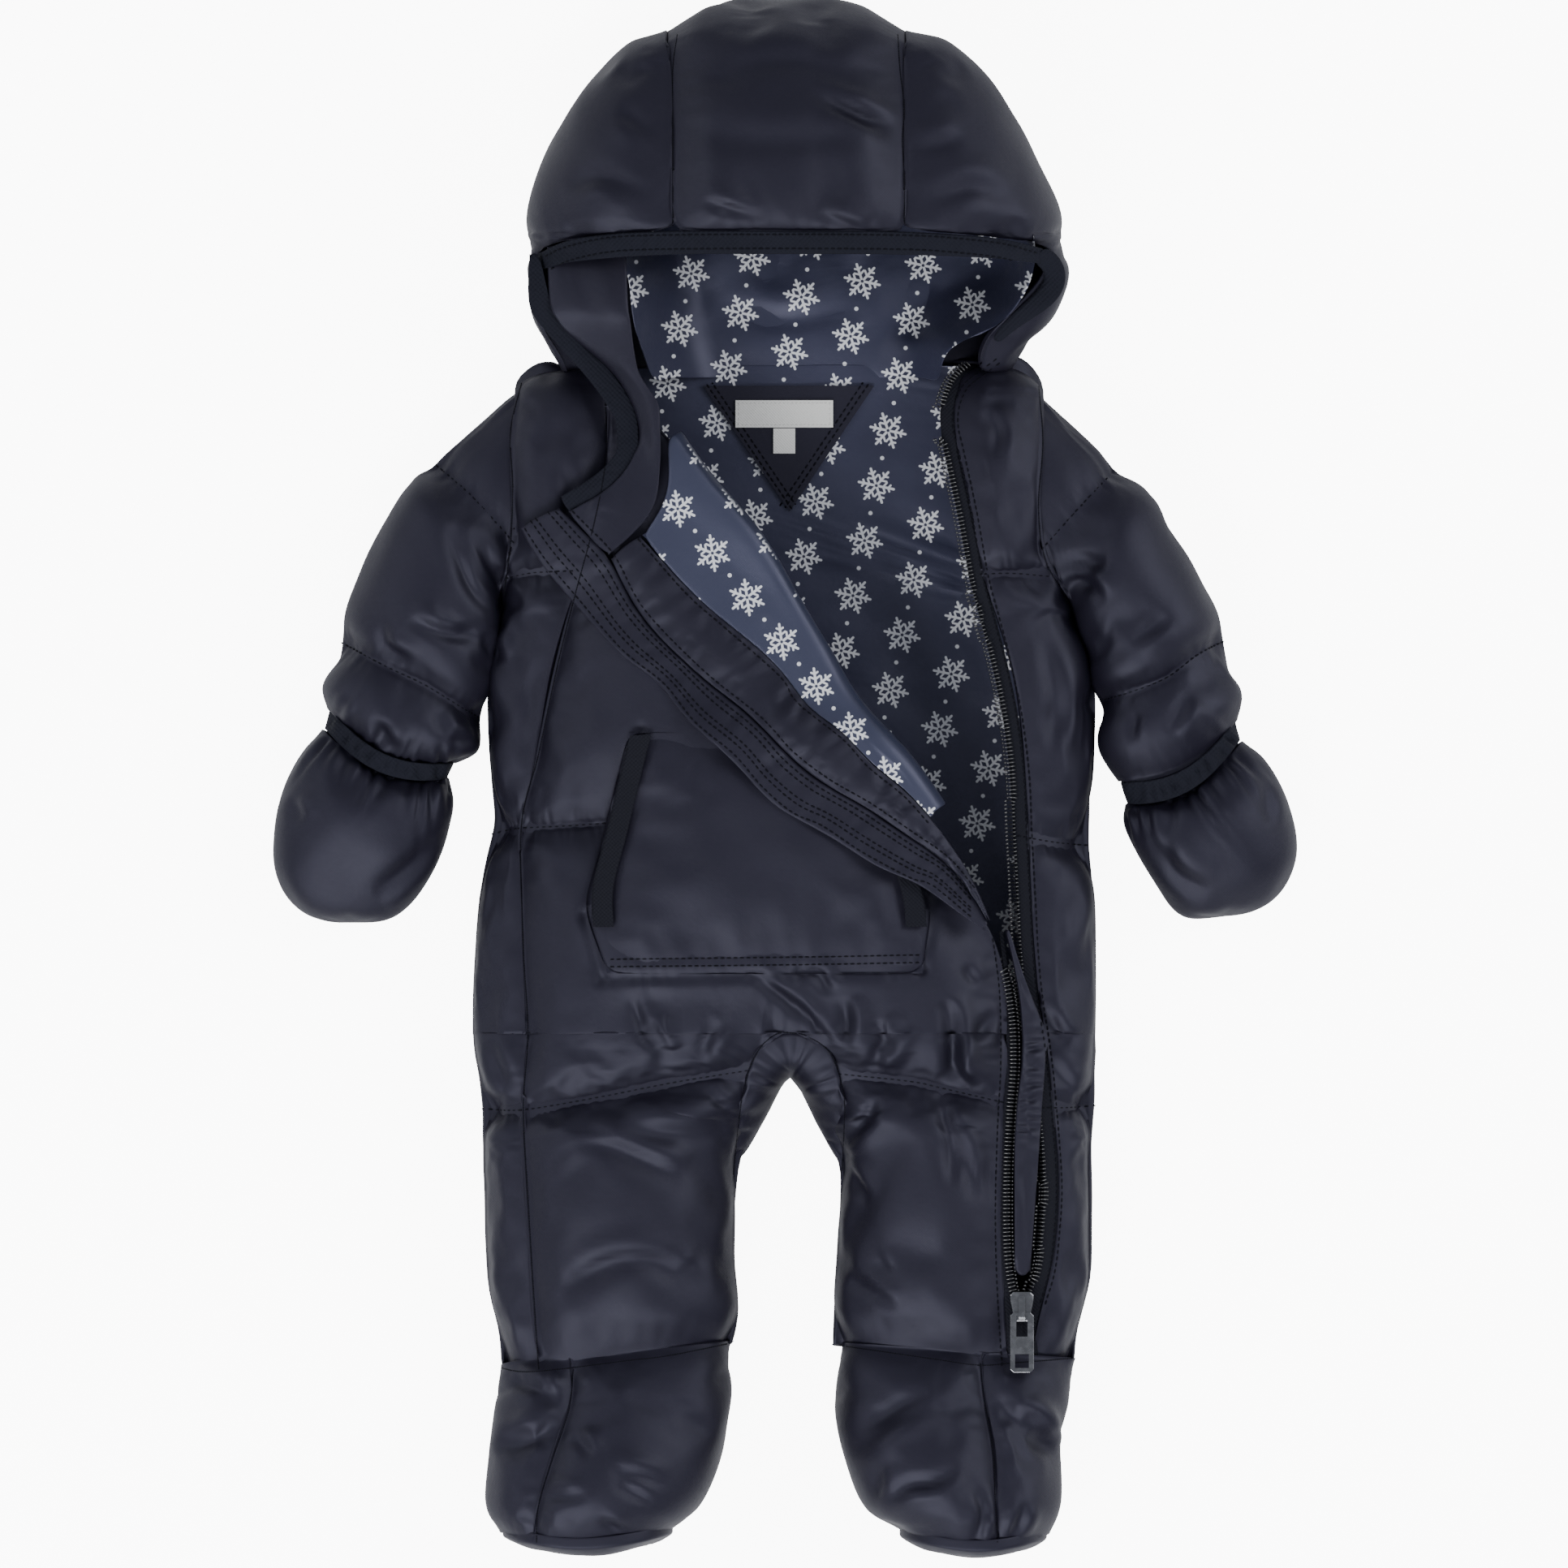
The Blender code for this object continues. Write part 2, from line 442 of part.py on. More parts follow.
def solid(name, points, faces, finish, flat=False):
    """One closed object from points in millimetres; faces are turned to point outwards."""
    points = np.asarray(points, float)
    volume = 0.0
    for face in faces:
        corner = points[list(face)]
        for k in range(1, len(face) - 1):
            volume += np.dot(corner[0], np.cross(corner[k], corner[k + 1]))
    if volume < 0:
        faces = [tuple(reversed(face)) for face in faces]
    mesh = bpy.data.meshes.new(name)
    placed = (points - (*MIDDLE, 0.0)) * MM
    mesh.from_pydata([tuple(point) for point in placed], [], faces)
    mesh.validate()
    mesh.materials.append(material(name, *finish))
    if not flat:
        mesh.shade_smooth()
        mesh.set_sharp_from_angle(angle=math.radians(50))
    made = bpy.data.objects.new(name, mesh)
    bpy.context.collection.objects.link(made)
    return made


def wall(name, inner, outer, finish, around=False, closed_end=False):
    """A wall between two grids of points; around joins its last column to its first, and
    closed_end draws its last row together in one point."""
    rows, columns = inner.shape[:2]
    points = []
    index = np.zeros((2, rows, columns), int)
    for layer, grid in enumerate((inner, outer)):
        for i in range(rows):
            if closed_end and i == rows - 1:
                index[layer, i, :] = len(points)
                points.append(grid[i].mean(axis=0))
                continue
            for j in range(columns):
                index[layer, i, j] = len(points)
                points.append(grid[i, j])
    faces = []

    def quad(a, b, c, d):
        corners = [k for n, k in enumerate((a, b, c, d)) if k not in (a, b, c, d)[:n]]
        if len(corners) == 4:
            faces.extend([(corners[0], corners[1], corners[2]), (corners[0], corners[2], corners[3])])
        elif len(corners) == 3:
            faces.append(tuple(corners))

    spans = columns if around else columns - 1
    for i in range(rows - 1):
        for j in range(spans):
            k = (j + 1) % columns
            quad(index[1, i, j], index[1, i, k], index[1, i + 1, k], index[1, i + 1, j])
            quad(index[0, i, j], index[0, i + 1, j], index[0, i + 1, k], index[0, i, k])
    for j in range(spans):
        k = (j + 1) % columns
        quad(index[0, 0, j], index[0, 0, k], index[1, 0, k], index[1, 0, j])
        if not closed_end:
            quad(index[0, -1, k], index[0, -1, j], index[1, -1, j], index[1, -1, k])
    if not around:
        for i in range(rows - 1):
            quad(index[0, i + 1, 0], index[0, i, 0], index[1, i, 0], index[1, i + 1, 0])
            quad(index[0, i, -1], index[0, i + 1, -1], index[1, i + 1, -1], index[1, i, -1])
    return solid(name, points, faces, finish)


SHELL = (NAVY, 0.42)
LINED = (NAVY_LINING, 0.38)
ELASTIC = (NAVY_ELASTIC, 0.8)


def grid_normals(grid, towards):
    """Directions square to a grid of points, on the side that a given direction points to."""
    out = np.cross(np.gradient(grid, axis=0), np.gradient(grid, axis=1))
    out /= np.maximum(np.linalg.norm(out, axis=-1, keepdims=True), 1e-9)
    middle = out[grid.shape[0] // 2, grid.shape[1] // 2]
    return out * math.copysign(1.0, float(np.dot(middle, towards)))


def grid_wall(name, base, thick, finish, towards=None, puff=0.0, out=None):
    """A wall that stands up from a grid of points, or out from it where a direction is given,
    and is thicker by puff in its middle."""
    rows, columns = base.shape[:2]
    across = np.sin(np.linspace(0, math.pi, columns)) ** 0.7
    down = np.sin(np.linspace(0, math.pi, rows)) ** 0.5
    amount = thick + puff * across[None, :] * down[:, None]
    if out is None:
        out = np.array([0.0, 0.0, 1.0]) if towards is None else grid_normals(base, towards)
    return wall(name, base, base + out * amount[..., None], finish)


def tube_panel(name, tube, stations, start=0.0, stop=0.0, columns=2, stitches=(), finish=SHELL,
               around=False, loft=LOFT, angles=None, pressed_ends=(False, False),
               level_ends=(True, True), beside_armhole=(False, False), closed_end=False):
    """A padded panel of a tube, from one angle to another at each station along it."""
    stations = np.asarray(stations, float)
    if angles is None:
        shares = np.linspace(0.0, 1.0, columns)
        start = np.broadcast_to(start, stations.shape)
        stop = np.broadcast_to(stop, stations.shape)
        angles = start[:, None] + (stop - start)[:, None] * shares[None, :]
    s = np.broadcast_to(stations[:, None], angles.shape)
    inner = tube.point(s, angles)
    out = tube.normal(s, angles)
    for k in (0, -1):
        if level_ends[k]:
            square = tube.along_direction(stations[k])
            out[k] -= (out[k] @ square)[:, None] * square
            out[k] /= np.linalg.norm(out[k], axis=-1, keepdims=True)
    for column, beside in zip((0, -1), beside_armhole):
        leaning = np.where(beside, out[:, column, 0], 0.0)
        out[:, column, 0] -= leaning
        out[:, column] /= np.linalg.norm(out[:, column], axis=-1, keepdims=True)
    thick = padding(inner, stitches, loft) if len(stitches) else np.full(s.shape, loft)
    for at_end, end in zip(pressed_ends, (stations[0], stations[-1])):
        if at_end:
            step = np.clip(np.abs(s - end) / PRESSED_RINGS, 0, 1)
            thick = np.minimum(thick, SEAM_THICK + (loft - SEAM_THICK) * np.sqrt(step))
    turn = np.clip(-np.sin(np.radians(angles)) / 0.5, 0.0, 1.0)
    thick = thick + (tube.under - thick) * turn
    flat_back = (inner[..., 2] <= tube.under + 0.01) & (np.sin(np.radians(angles)) < 0)
    thick = np.where(flat_back, tube.under, thick)
    outer = inner + out * thick[..., None]
    outer[..., 2] = np.where(flat_back, 0.0, np.maximum(outer[..., 2], 0.0))
    return wall(name, inner, outer, finish, around, closed_end)


# ---------------------------------------------------------------- the suit's tubes and stitch lines
TORSO = Tube(TORSO_ROWS)
LEG_RIGHT = Tube(LEG_RIGHT_ROWS)
LEG_LEFT = Tube(LEG_LEFT_ROWS)
BOOT_RIGHT = Tube(BOOT_RIGHT_ROWS)
BOOT_LEFT = Tube(BOOT_LEFT_ROWS)
HOOD = Tube(HOOD_ROWS)
HALF_GAP = SEAM_GAP / 2
SPREAD = np.array(BACK_SPREAD)


def shifted(curve, dx):
    """A plan curve moved sideways."""
    return [(point[0] + dx, point[1]) for point in curve]


ZIP_LEFT_LINE = ZIP_LEFT_TEETH + [(110.5, -248), (110.5, -274)]
ZIP_RIGHT_LINE = ZIP_RIGHT_TEETH + [(110.1, -248), (110.1, -274)]
FRONT_EDGE = (shifted([point[:2] for point in CHEEK_FOLD], -TURN_INSET)
              + shifted(FOLD_EDGE, -TURN_INSET) + FRONT_ZIP_EDGE)
ANKLE_RIGHT = [(-134, -271), (-19, -258)]
ANKLE_LEFT = [(22, -259), (139, -267)]
SHOULDER_RIGHT = [(-98, 192), (-132, 181)]
SHOULDER_LEFT = [(101, 193), (128, 181)]
FRONT_STITCHES = [SIDE_SEAM_RIGHT, CHEST_STITCH, WAIST_STITCH, THIGH_STITCH_RIGHT,
                  THIGH_STITCH_LEFT, GUSSET_SEAM, ANKLE_RIGHT, ANKLE_LEFT, FRONT_ZIP_EDGE]
LEFT_STITCHES = [ARMHOLE_LEFT, CHEST_STITCH, WAIST_STITCH, THIGH_STITCH_LEFT, ANKLE_LEFT,
                 shifted(ZIP_LEFT_LINE, ZIP_TAPE_VISIBLE), SHOULDER_LEFT]
SIDE_STITCHES = [ARMHOLE_RIGHT, SIDE_SEAM_RIGHT, CHEST_STITCH, WAIST_STITCH,
                 THIGH_STITCH_RIGHT, ANKLE_RIGHT, SHOULDER_RIGHT]


# ---------------------------------------------------------------- body and legs
def armhole_limits(stations):
    """Angles at which the torso stops, at the armholes and at its outline above and below, and
    the stations with an armhole beside them."""
    y = np.interp(stations, np.arange(TORSO.count), TORSO.ends[:, [1, 3]].mean(axis=1))
    right = TORSO.angle_of(stations, ARMHOLE_RIGHT, HALF_GAP)
    left = TORSO.angle_of(stations, ARMHOLE_LEFT, -HALF_GAP)
    beside_right = (y < ARMHOLE_RIGHT[0][1]) & (y > ARMHOLE_RIGHT[-1][1])
    beside_left = (y < ARMHOLE_LEFT[0][1]) & (y > ARMHOLE_LEFT[-1][1])
    right = np.where(beside_right, np.maximum(right, SIDE_ANGLE), SIDE_ANGLE)
    left = np.where(beside_left, np.minimum(left, 180 - SIDE_ANGLE), 180 - SIDE_ANGLE)
    return right, left, beside_right & (y > UNDERARM_Y), beside_left & (y > UNDERARM_Y)


def back_angles(low, high):
    """Angles of a back panel between the two limits of the front panels over it."""
    low, high = 360 - low, 360 - high
    return low[:, None] + (high - low)[:, None] * SPREAD[None, :]


def body_pieces():
    stations = np.arange(TORSO.count, dtype=float)
    right_limit, left_limit, beside_right, beside_left = armhole_limits(stations)
    seam = TORSO.angle_of(stations, SIDE_SEAM_RIGHT, -HALF_GAP)
    tube_panel("side_front_right", TORSO, stations, right_limit, seam, 5, SIDE_STITCHES,
               beside_armhole=(beside_right, False))
    lower = stations[3:]
    seam = TORSO.angle_of(lower, SIDE_SEAM_RIGHT, HALF_GAP)
    edge = TORSO.angle_of(lower, FRONT_EDGE)
    tube_panel("front_main", TORSO, lower, seam, edge, 10, FRONT_STITCHES)
    edge = TORSO.angle_of(stations, ZIP_LEFT_LINE, ZIP_TAPE_VISIBLE)
    tube_panel("front_left", TORSO, stations, edge, left_limit, 6, LEFT_STITCHES,
               beside_armhole=(False, beside_left))
    tube_panel("back_body", TORSO, stations, stitches=[],
               angles=back_angles(right_limit, left_limit),
               beside_armhole=(beside_right, beside_left))


def leg_pieces():
    """The legs go on from the torso's last ring; returns the edges that the gusset is sewn to,
    front and back of the right leg and then of the left one."""
    stations = np.array([0.03, 0.5, 1, 1.5, 2, 2.5, 3, 3.3, 4, 5, 6, 7, 8])
    side = np.full(stations.shape, SIDE_ANGLE)
    crotch = (4.0, -114.9)
    inner_right = [point for point in GUSSET_SEAM if point[0] < 4] + [crotch]
    inner_left = [point for point in GUSSET_SEAM if point[0] > 4] + [crotch]
    seam = LEG_RIGHT.angle_of(stations, SIDE_SEAM_RIGHT, -HALF_GAP)
    tube_panel("side_front_leg_right", LEG_RIGHT, stations, side, seam, 4, SIDE_STITCHES)
    seam = LEG_RIGHT.angle_of(stations, SIDE_SEAM_RIGHT, HALF_GAP)
    inseam_right = LEG_RIGHT.angle_of(stations, inner_right, -HALF_GAP)
    beyond = np.arange(len(stations)) > GUSSET_LAST
    inseam_right = np.where(beyond, 180 - SIDE_ANGLE, np.minimum(inseam_right, 180 - SIDE_ANGLE))
    tube_panel("front_leg_right", LEG_RIGHT, stations, seam, inseam_right, 8, FRONT_STITCHES)
    inseam_left = LEG_LEFT.angle_of(stations, inner_left, HALF_GAP)
    inseam_left = np.where(beyond, SIDE_ANGLE, np.maximum(inseam_left, SIDE_ANGLE))
    edge = LEG_LEFT.angle_of(stations, FRONT_ZIP_EDGE)
    tube_panel("front_leg_left", LEG_LEFT, stations, inseam_left, edge, 7, FRONT_STITCHES)
    edge = LEG_LEFT.angle_of(stations, ZIP_LEFT_LINE, ZIP_TAPE_VISIBLE)
    tube_panel("front_left_leg", LEG_LEFT, stations, edge, 180 - side, 4, LEFT_STITCHES)
    tube_panel("back_leg_right", LEG_RIGHT, stations, stitches=[],
               angles=back_angles(side, inseam_right))
    tube_panel("back_leg_left", LEG_LEFT, stations, stitches=[],
               angles=back_angles(inseam_left, 180 - side))
    last = GUSSET_LAST + 1
    edges = []
    for tube, inseam, turn in ((LEG_RIGHT, inseam_right, 1), (LEG_LEFT, inseam_left, -1)):
        for front in (True, False):
            angle = inseam if front else 360 - inseam
            ease = GUSSET_EASE * (turn if front else -turn)
            angle = tube.further(stations, angle, ease)[:last]
            edges.append((tube.point(stations[:last], angle), tube.normal(stations[:last], angle)))
    return edges


def crotch_gusset(edges):
    """The arched piece between the legs, from its seam on the front to its seam on the back."""
    joined = []
    for right, left in ((edges[0], edges[2]), (edges[1], edges[3])):
        for right_part, left_part in zip(right, left):
            joined.append(np.concatenate([right_part[::-1], left_part[1:]]))
    top, top_out, low, low_out = joined
    apex = len(top) // 2
    for edge, out, upright in ((top, top_out, 1.0), (low, low_out, -1.0)):
        edge[apex, :2] = np.array(GUSSET_SEAM[5]) - (0, GUSSET_EASE + SEAM_GAP)
        out[apex] = (0, 0, upright)
    arch = along(CROTCH_EDGE, at=np.linspace(0.0, 1.0, len(top)))
    bulge = np.sin(math.pi * np.linspace(0.0, 1.0, 6))
    down = (1 - np.cos(math.pi * np.linspace(0.0, 1.0, 6))) / 2
    base = top[:, None] + (low - top)[:, None] * down[None, :, None]
    base[..., :2] += (arch - top[:, :2])[:, None] * bulge[None, :, None]
    out = grid_normals(base, (0, -1, 0))
    out[:, 0], out[:, -1] = top_out, low_out
    thick = np.tile(SEAM_THICK + (GUSSET_THICK - SEAM_THICK) * bulge, (len(top), 1))
    thick[low[:, 2] <= UNDER_THICK, -1] = UNDER_THICK
    outer = base + out * thick[..., None]
    outer[..., 2] = np.maximum(outer[..., 2], 0.0)
    wall("crotch_gusset", base, outer, SHELL)


# ---------------------------------------------------------------- sleeves, cuffs and mittens
class Sleeve(Tube):
    """A tube that starts on the torso's own surface at the armhole and swells into a sleeve."""

    def __init__(self, rows, armhole, gap, lead):
        self.armhole = armhole
        self.gap = gap
        self.start = np.array([rows[0]["left"], rows[0]["right"]], float)
        super().__init__(rows, lead=lead)

    def left_inset(self, s):
        return SIDE_INSET * np.clip(SHOULDER_EASE + np.asarray(s, float), 0, 1)

    def point(self, s, angle):
        made = super().point(s, angle)
        s, angle = np.broadcast_arrays(np.asarray(s, float), np.asarray(angle, float))
        own = np.clip(s / SLEEVE_JOIN, 0.0, 1.0)
        own = own * own * (3 - 2 * own)
        straight = np.interp(-made[..., 1], -self.start[:, 1], self.start[:, 0])
        low = np.clip((UNDERARM_EASE["from_y"] - made[..., 1]) / UNDERARM_EASE["length"], 0, 1)
        curved = x_on(self.armhole, made[..., 1]) + self.gap * (1 + UNDERARM_EASE["more"] * low)
        made[..., 0] += (curved - straight) * (1 - own)
        front = TORSO.height(made[..., 0], made[..., 1])
        back = TORSO.back_height(made[..., 0], made[..., 1])
        torso_z = np.where(np.sin(np.radians(angle)) > 0, front, back)
        made[..., 2] = torso_z * (1 - own) + made[..., 2] * own
        return made


def arm_pieces(side, rows, armhole, gap, mitten_rows, upper_stitch, elbow_stitch):
    start, end = np.array(rows[-1]["left"]), np.array(mitten_rows[0]["left"])
    travel = (end - start) / np.linalg.norm(end - start) * CUFF_GAP
    sleeve = Sleeve(rows, armhole, gap, travel)
    stations = np.array([0, 1, 1.6, 2.2, 2.8, 3.5, 4.2, 5, 5.9, 7])
    stitches = [armhole, upper_stitch, elbow_stitch]
    ring = np.array(RING, float)
    tube_panel(f"sleeve_{side}", sleeve, stations, stitches=stitches, around=True,
               angles=np.broadcast_to(ring, (len(stations), len(ring))),
               pressed_ends=(False, True))
    mitten = Tube(mitten_rows, lead=travel)
    first = dict(rows[-1], left=tuple(start + travel), top=rows[-1]["top"] - 1,
                 right=tuple(np.array(rows[-1]["right"]) + travel))
    second = dict(mitten_rows[0], left=tuple(end - travel), top=mitten_rows[0]["top"] - 1,
                  right=tuple(np.array(mitten_rows[0]["right"]) - travel))
    cuff = Tube([first, second], loft=CUFF_THICK, lead=travel)
    tube_panel(f"cuff_binding_{side}", cuff, np.array([0, 0.5, 1.0]), stitches=[],
               angles=np.broadcast_to(ring, (3, len(ring))), around=True, finish=ELASTIC,
               loft=CUFF_THICK)
    stations = np.array([0, 0.5, 1.2, 2.1, 3, 4, 5])
    tube_panel(f"mitten_{side}", mitten, stations, stitches=[],
               angles=np.broadcast_to(ring, (len(stations), len(ring))), around=True,
               pressed_ends=(True, False), level_ends=(True, False), closed_end=True)


# ---------------------------------------------------------------- boots
def boot_pieces(side, rows, seam, seam_from_left):
    boot = Tube(rows)
    stations = np.array([0, 0.5, 1, 1.6, 2.2, 3, 3.5, 4])
    split = boot.angle_of(stations, seam)
    gap = 0.5
    left_angles = (split - gap)[:, None] + (-90 + gap - (split - gap))[:, None] * SPREAD[None, :]
    right_angles = (split + gap)[:, None] + (270 - gap - (split + gap))[:, None] * SPREAD[None, :]
    names = ("outer", "inner") if seam_from_left else ("inner", "outer")
    for name, angles in zip(names, (left_angles, right_angles)):
        tube_panel(f"boot_{side}_{name}", boot, stations, stitches=[seam], angles=angles,
                   pressed_ends=(True, True))
    ring = np.array(RING, float)
    last = float(boot.count - 1)
    edge = boot.point(last, ring) + boot.normal(last, ring) * SEAM_THICK
    edge[:, 2] = np.maximum(edge[:, 2], 0.0)
    centre = edge.mean(axis=0)
    shrink = np.array([1.0, 0.8, 0.5, 0.0])
    bulge = SOLE_BULGE * np.sqrt(1 - shrink**2)
    layers = []
    for depth in (SEAM_GAP + 0.4, SEAM_GAP + 0.4 + SOLE_THICK):
        grid = centre + (edge - centre)[None, :, :] * shrink[:, None, None]
        grid[..., 1] -= depth + bulge[:, None]
        layers.append(grid)
    wall(f"sole_{side}", layers[0], layers[1], SHELL, around=True, closed_end=True)


# ---------------------------------------------------------------- hood
def hood_station(y):
    """Station on the hood's rings at a plan y."""
    return np.interp(y, HOOD.ends[:, [1, 3]].mean(axis=1), np.arange(HOOD.count))


def hood_angle(s, x):
    """Angle at which a ring of the hood's front passes a plan x."""
    left, right, _, _, _ = HOOD.edges(np.asarray(s, float))
    share = np.clip((x - left[..., 0]) / (right[..., 0] - left[..., 0]), 0, 1)
    return np.degrees(np.arccos(1 - 2 * share))


def crown_point(x, lift):
    """The crown beyond the ring where it starts; lift runs from 90 at the front to -90 behind."""
    s = hood_station(CROWN["start_y"])
    front = HOOD.point(s, hood_angle(s, x))
    side = front[..., 2] * 0 + HOOD.edges(s)[4]
    middle = (HOOD_SEAM_RIGHT[-1][0] + HOOD_SEAM_LEFT[-1][0]) / 2
    half = (HOOD_SEAM_LEFT[-1][0] - HOOD_SEAM_RIGHT[-1][0]) / 2
    y_crown = CROWN["y"] - CROWN["drop"] * ((x - middle) / half) ** 2
    turn = np.radians(lift)
    rise = np.where(np.asarray(lift) > 0, front[..., 2] - side, side - HOOD.under)
    y = CROWN["start_y"] + (y_crown - CROWN["start_y"]) * np.cos(turn)
    return np.stack(np.broadcast_arrays(x, y, side + rise * np.sin(turn)), axis=-1)


def hood_side(name, seam, limit, sign):
    """A side of the hood, from the seam behind it, round the outline, to its front edge."""
    limit, seam_points = np.array(limit, float), np.array(seam, float)
    ys = np.array(HOOD_STATIONS_Y, float)
    stations = hood_station(ys)
    limit_x = np.interp(ys, *limit[np.argsort(limit[:, 1], kind="stable")].T[::-1])
    front = hood_angle(stations, limit_x - sign * HALF_GAP)
    back = 360 - hood_angle(stations, x_on(seam, ys) - sign * HALF_GAP)
    if sign > 0:
        front = np.maximum(front, 6.0)
        back = back - 360
    else:
        front = np.minimum(front, 174.0)
    share = np.linspace(0.0, 1.0, 9)
    angles = front[:, None] + (back - front)[:, None] * share[None, :]
    grid = HOOD.point(stations[:, None], angles)
    edge_x = seam_points[-1, 0] - sign * 2 * SEAM_GAP
    crown = crown_point(edge_x, CROWN["edge_lift"] * (1 - 2 * share))
    between = (grid[-1] + crown) / 2
    between[:, 0] -= sign * CROWN["corner"] * np.sin(share * math.pi)
    between[:, 1] += CROWN["corner"] * np.sin(share * math.pi)
    grid = np.concatenate([grid, between[None], crown[None]], axis=0)
    out = HOOD.normal(stations[:, None], angles)
    out = np.concatenate([out, grid_normals(grid[-4:], (-sign, 0, 0))[-2:]])
    for corner, beside in ((0, 1), (-1, -2)):
        out[-2, corner] = out[-3, corner]
        out[-1, corner] = out[-3, corner] + out[-1, beside]
    out[0, :, 1] = 0.0
    out /= np.linalg.norm(out, axis=-1, keepdims=True)
    hood_wall(name, grid, out, padding(grid, [seam_points[3:], limit], reach=HOOD_PUFF_REACH))


def hood_centre():
    """The hood's middle strip, from the brim over the crown and down to the neck."""
    share = np.linspace(0.0, 1.0, 7)
    rows = []
    for y in [y for y in HOOD_STATIONS_Y if y >= HOOD_EDGE_RIGHT[5][1]]:
        rows.append(hood_strip(y, share, front=True))
    x = HOOD_SEAM_RIGHT[-1][0] + (HOOD_SEAM_LEFT[-1][0] - HOOD_SEAM_RIGHT[-1][0]) * share
    for lift in CROWN["edge_lift"] * np.linspace(1.0, -1.0, 9):
        rows.append(crown_point(x, lift))
    for y in [y for y in reversed(HOOD_STATIONS_Y) if y > 256 or y < 240]:
        rows.append(hood_strip(y, share, front=False))
    grid = np.stack(rows)
    out = grid_normals(grid, (0, 1, 0))
    for k in (0, -1):
        out[k, :, 1] = 0.0
        out[k] /= np.linalg.norm(out[k], axis=-1, keepdims=True)
    brim_y = HOOD_EDGE_RIGHT[5][1]
    brim = [(HOOD_SEAM_RIGHT[3][0], brim_y), (HOOD_SEAM_LEFT[3][0], brim_y)]
    stitches = [HOOD_SEAM_RIGHT[3:], HOOD_SEAM_LEFT[3:], brim]
    hood_wall("hood_centre", grid, out, padding(grid, stitches, reach=HOOD_PUFF_REACH))


def hood_strip(y, share, front):
    """A row of the middle strip between the hood's two seams."""
    s = hood_station(y)
    left = x_on(HOOD_SEAM_RIGHT, y) + HALF_GAP
    right = x_on(HOOD_SEAM_LEFT, y) - HALF_GAP
    angle = hood_angle(s, left + (right - left) * share)
    return HOOD.point(s, angle if front else 360 - angle)


def hood_wall(name, grid, out, thick):
    flat_back = grid[..., 2] <= HOOD.under + 0.01
    thick = np.where(flat_back, HOOD.under, thick)
    outer = grid + out * thick[..., None]
    outer[..., 2] = np.where(flat_back, 0.0, np.maximum(outer[..., 2], 0.0))
    wall(name, grid, outer, SHELL)


# ---------------------------------------------------------------- turned-out front
def lie(x, y):
    """Height of the underside of a piece that lies on the front panel, over its pocket."""
    base = TORSO.height(x, y) + PANEL_TOP + FLAP_LIFT
    share = np.clip((OVER_POCKET["from_y"] - np.asarray(y, float)) / OVER_POCKET["length"], 0.0, 1.0)
    pocket_rise = POCKET_THICK + POCKET_PUFF + POCKET_CLEAR + TAPE_THICK + TAPE_RAISE
    return base + pocket_rise * share * share * (3 - 2 * share)


def lifted(plan):
    return np.concatenate([plan, lie(plan[..., 0], plan[..., 1])[..., None]], axis=-1)


def ruled(left, right, columns, top=None, gap_left=HALF_GAP, gap_right=HALF_GAP):
    """Plan grid between two rows of points, pulled to a third curve along its first row."""
    left, right = np.asarray(left, float), np.asarray(right, float)
    share = np.linspace(0.0, 1.0, columns)
    width = np.linalg.norm(right - left, axis=-1)
    low = gap_left / np.maximum(width, 1e-6)
    high = 1 - gap_right / np.maximum(width, 1e-6)
    u = low[:, None] + (high - low)[:, None] * share[None, :]
    grid = left[:, None] + (right - left)[:, None] * u[..., None]
    if top is not None:
        pull = along(top, at=share) - (left[0] + (right[0] - left[0]) * share[:, None])
        fade = np.linspace(1.0, 0.0, len(left)) ** 2
        grid = grid + pull[None] * fade[:, None, None]
    return grid


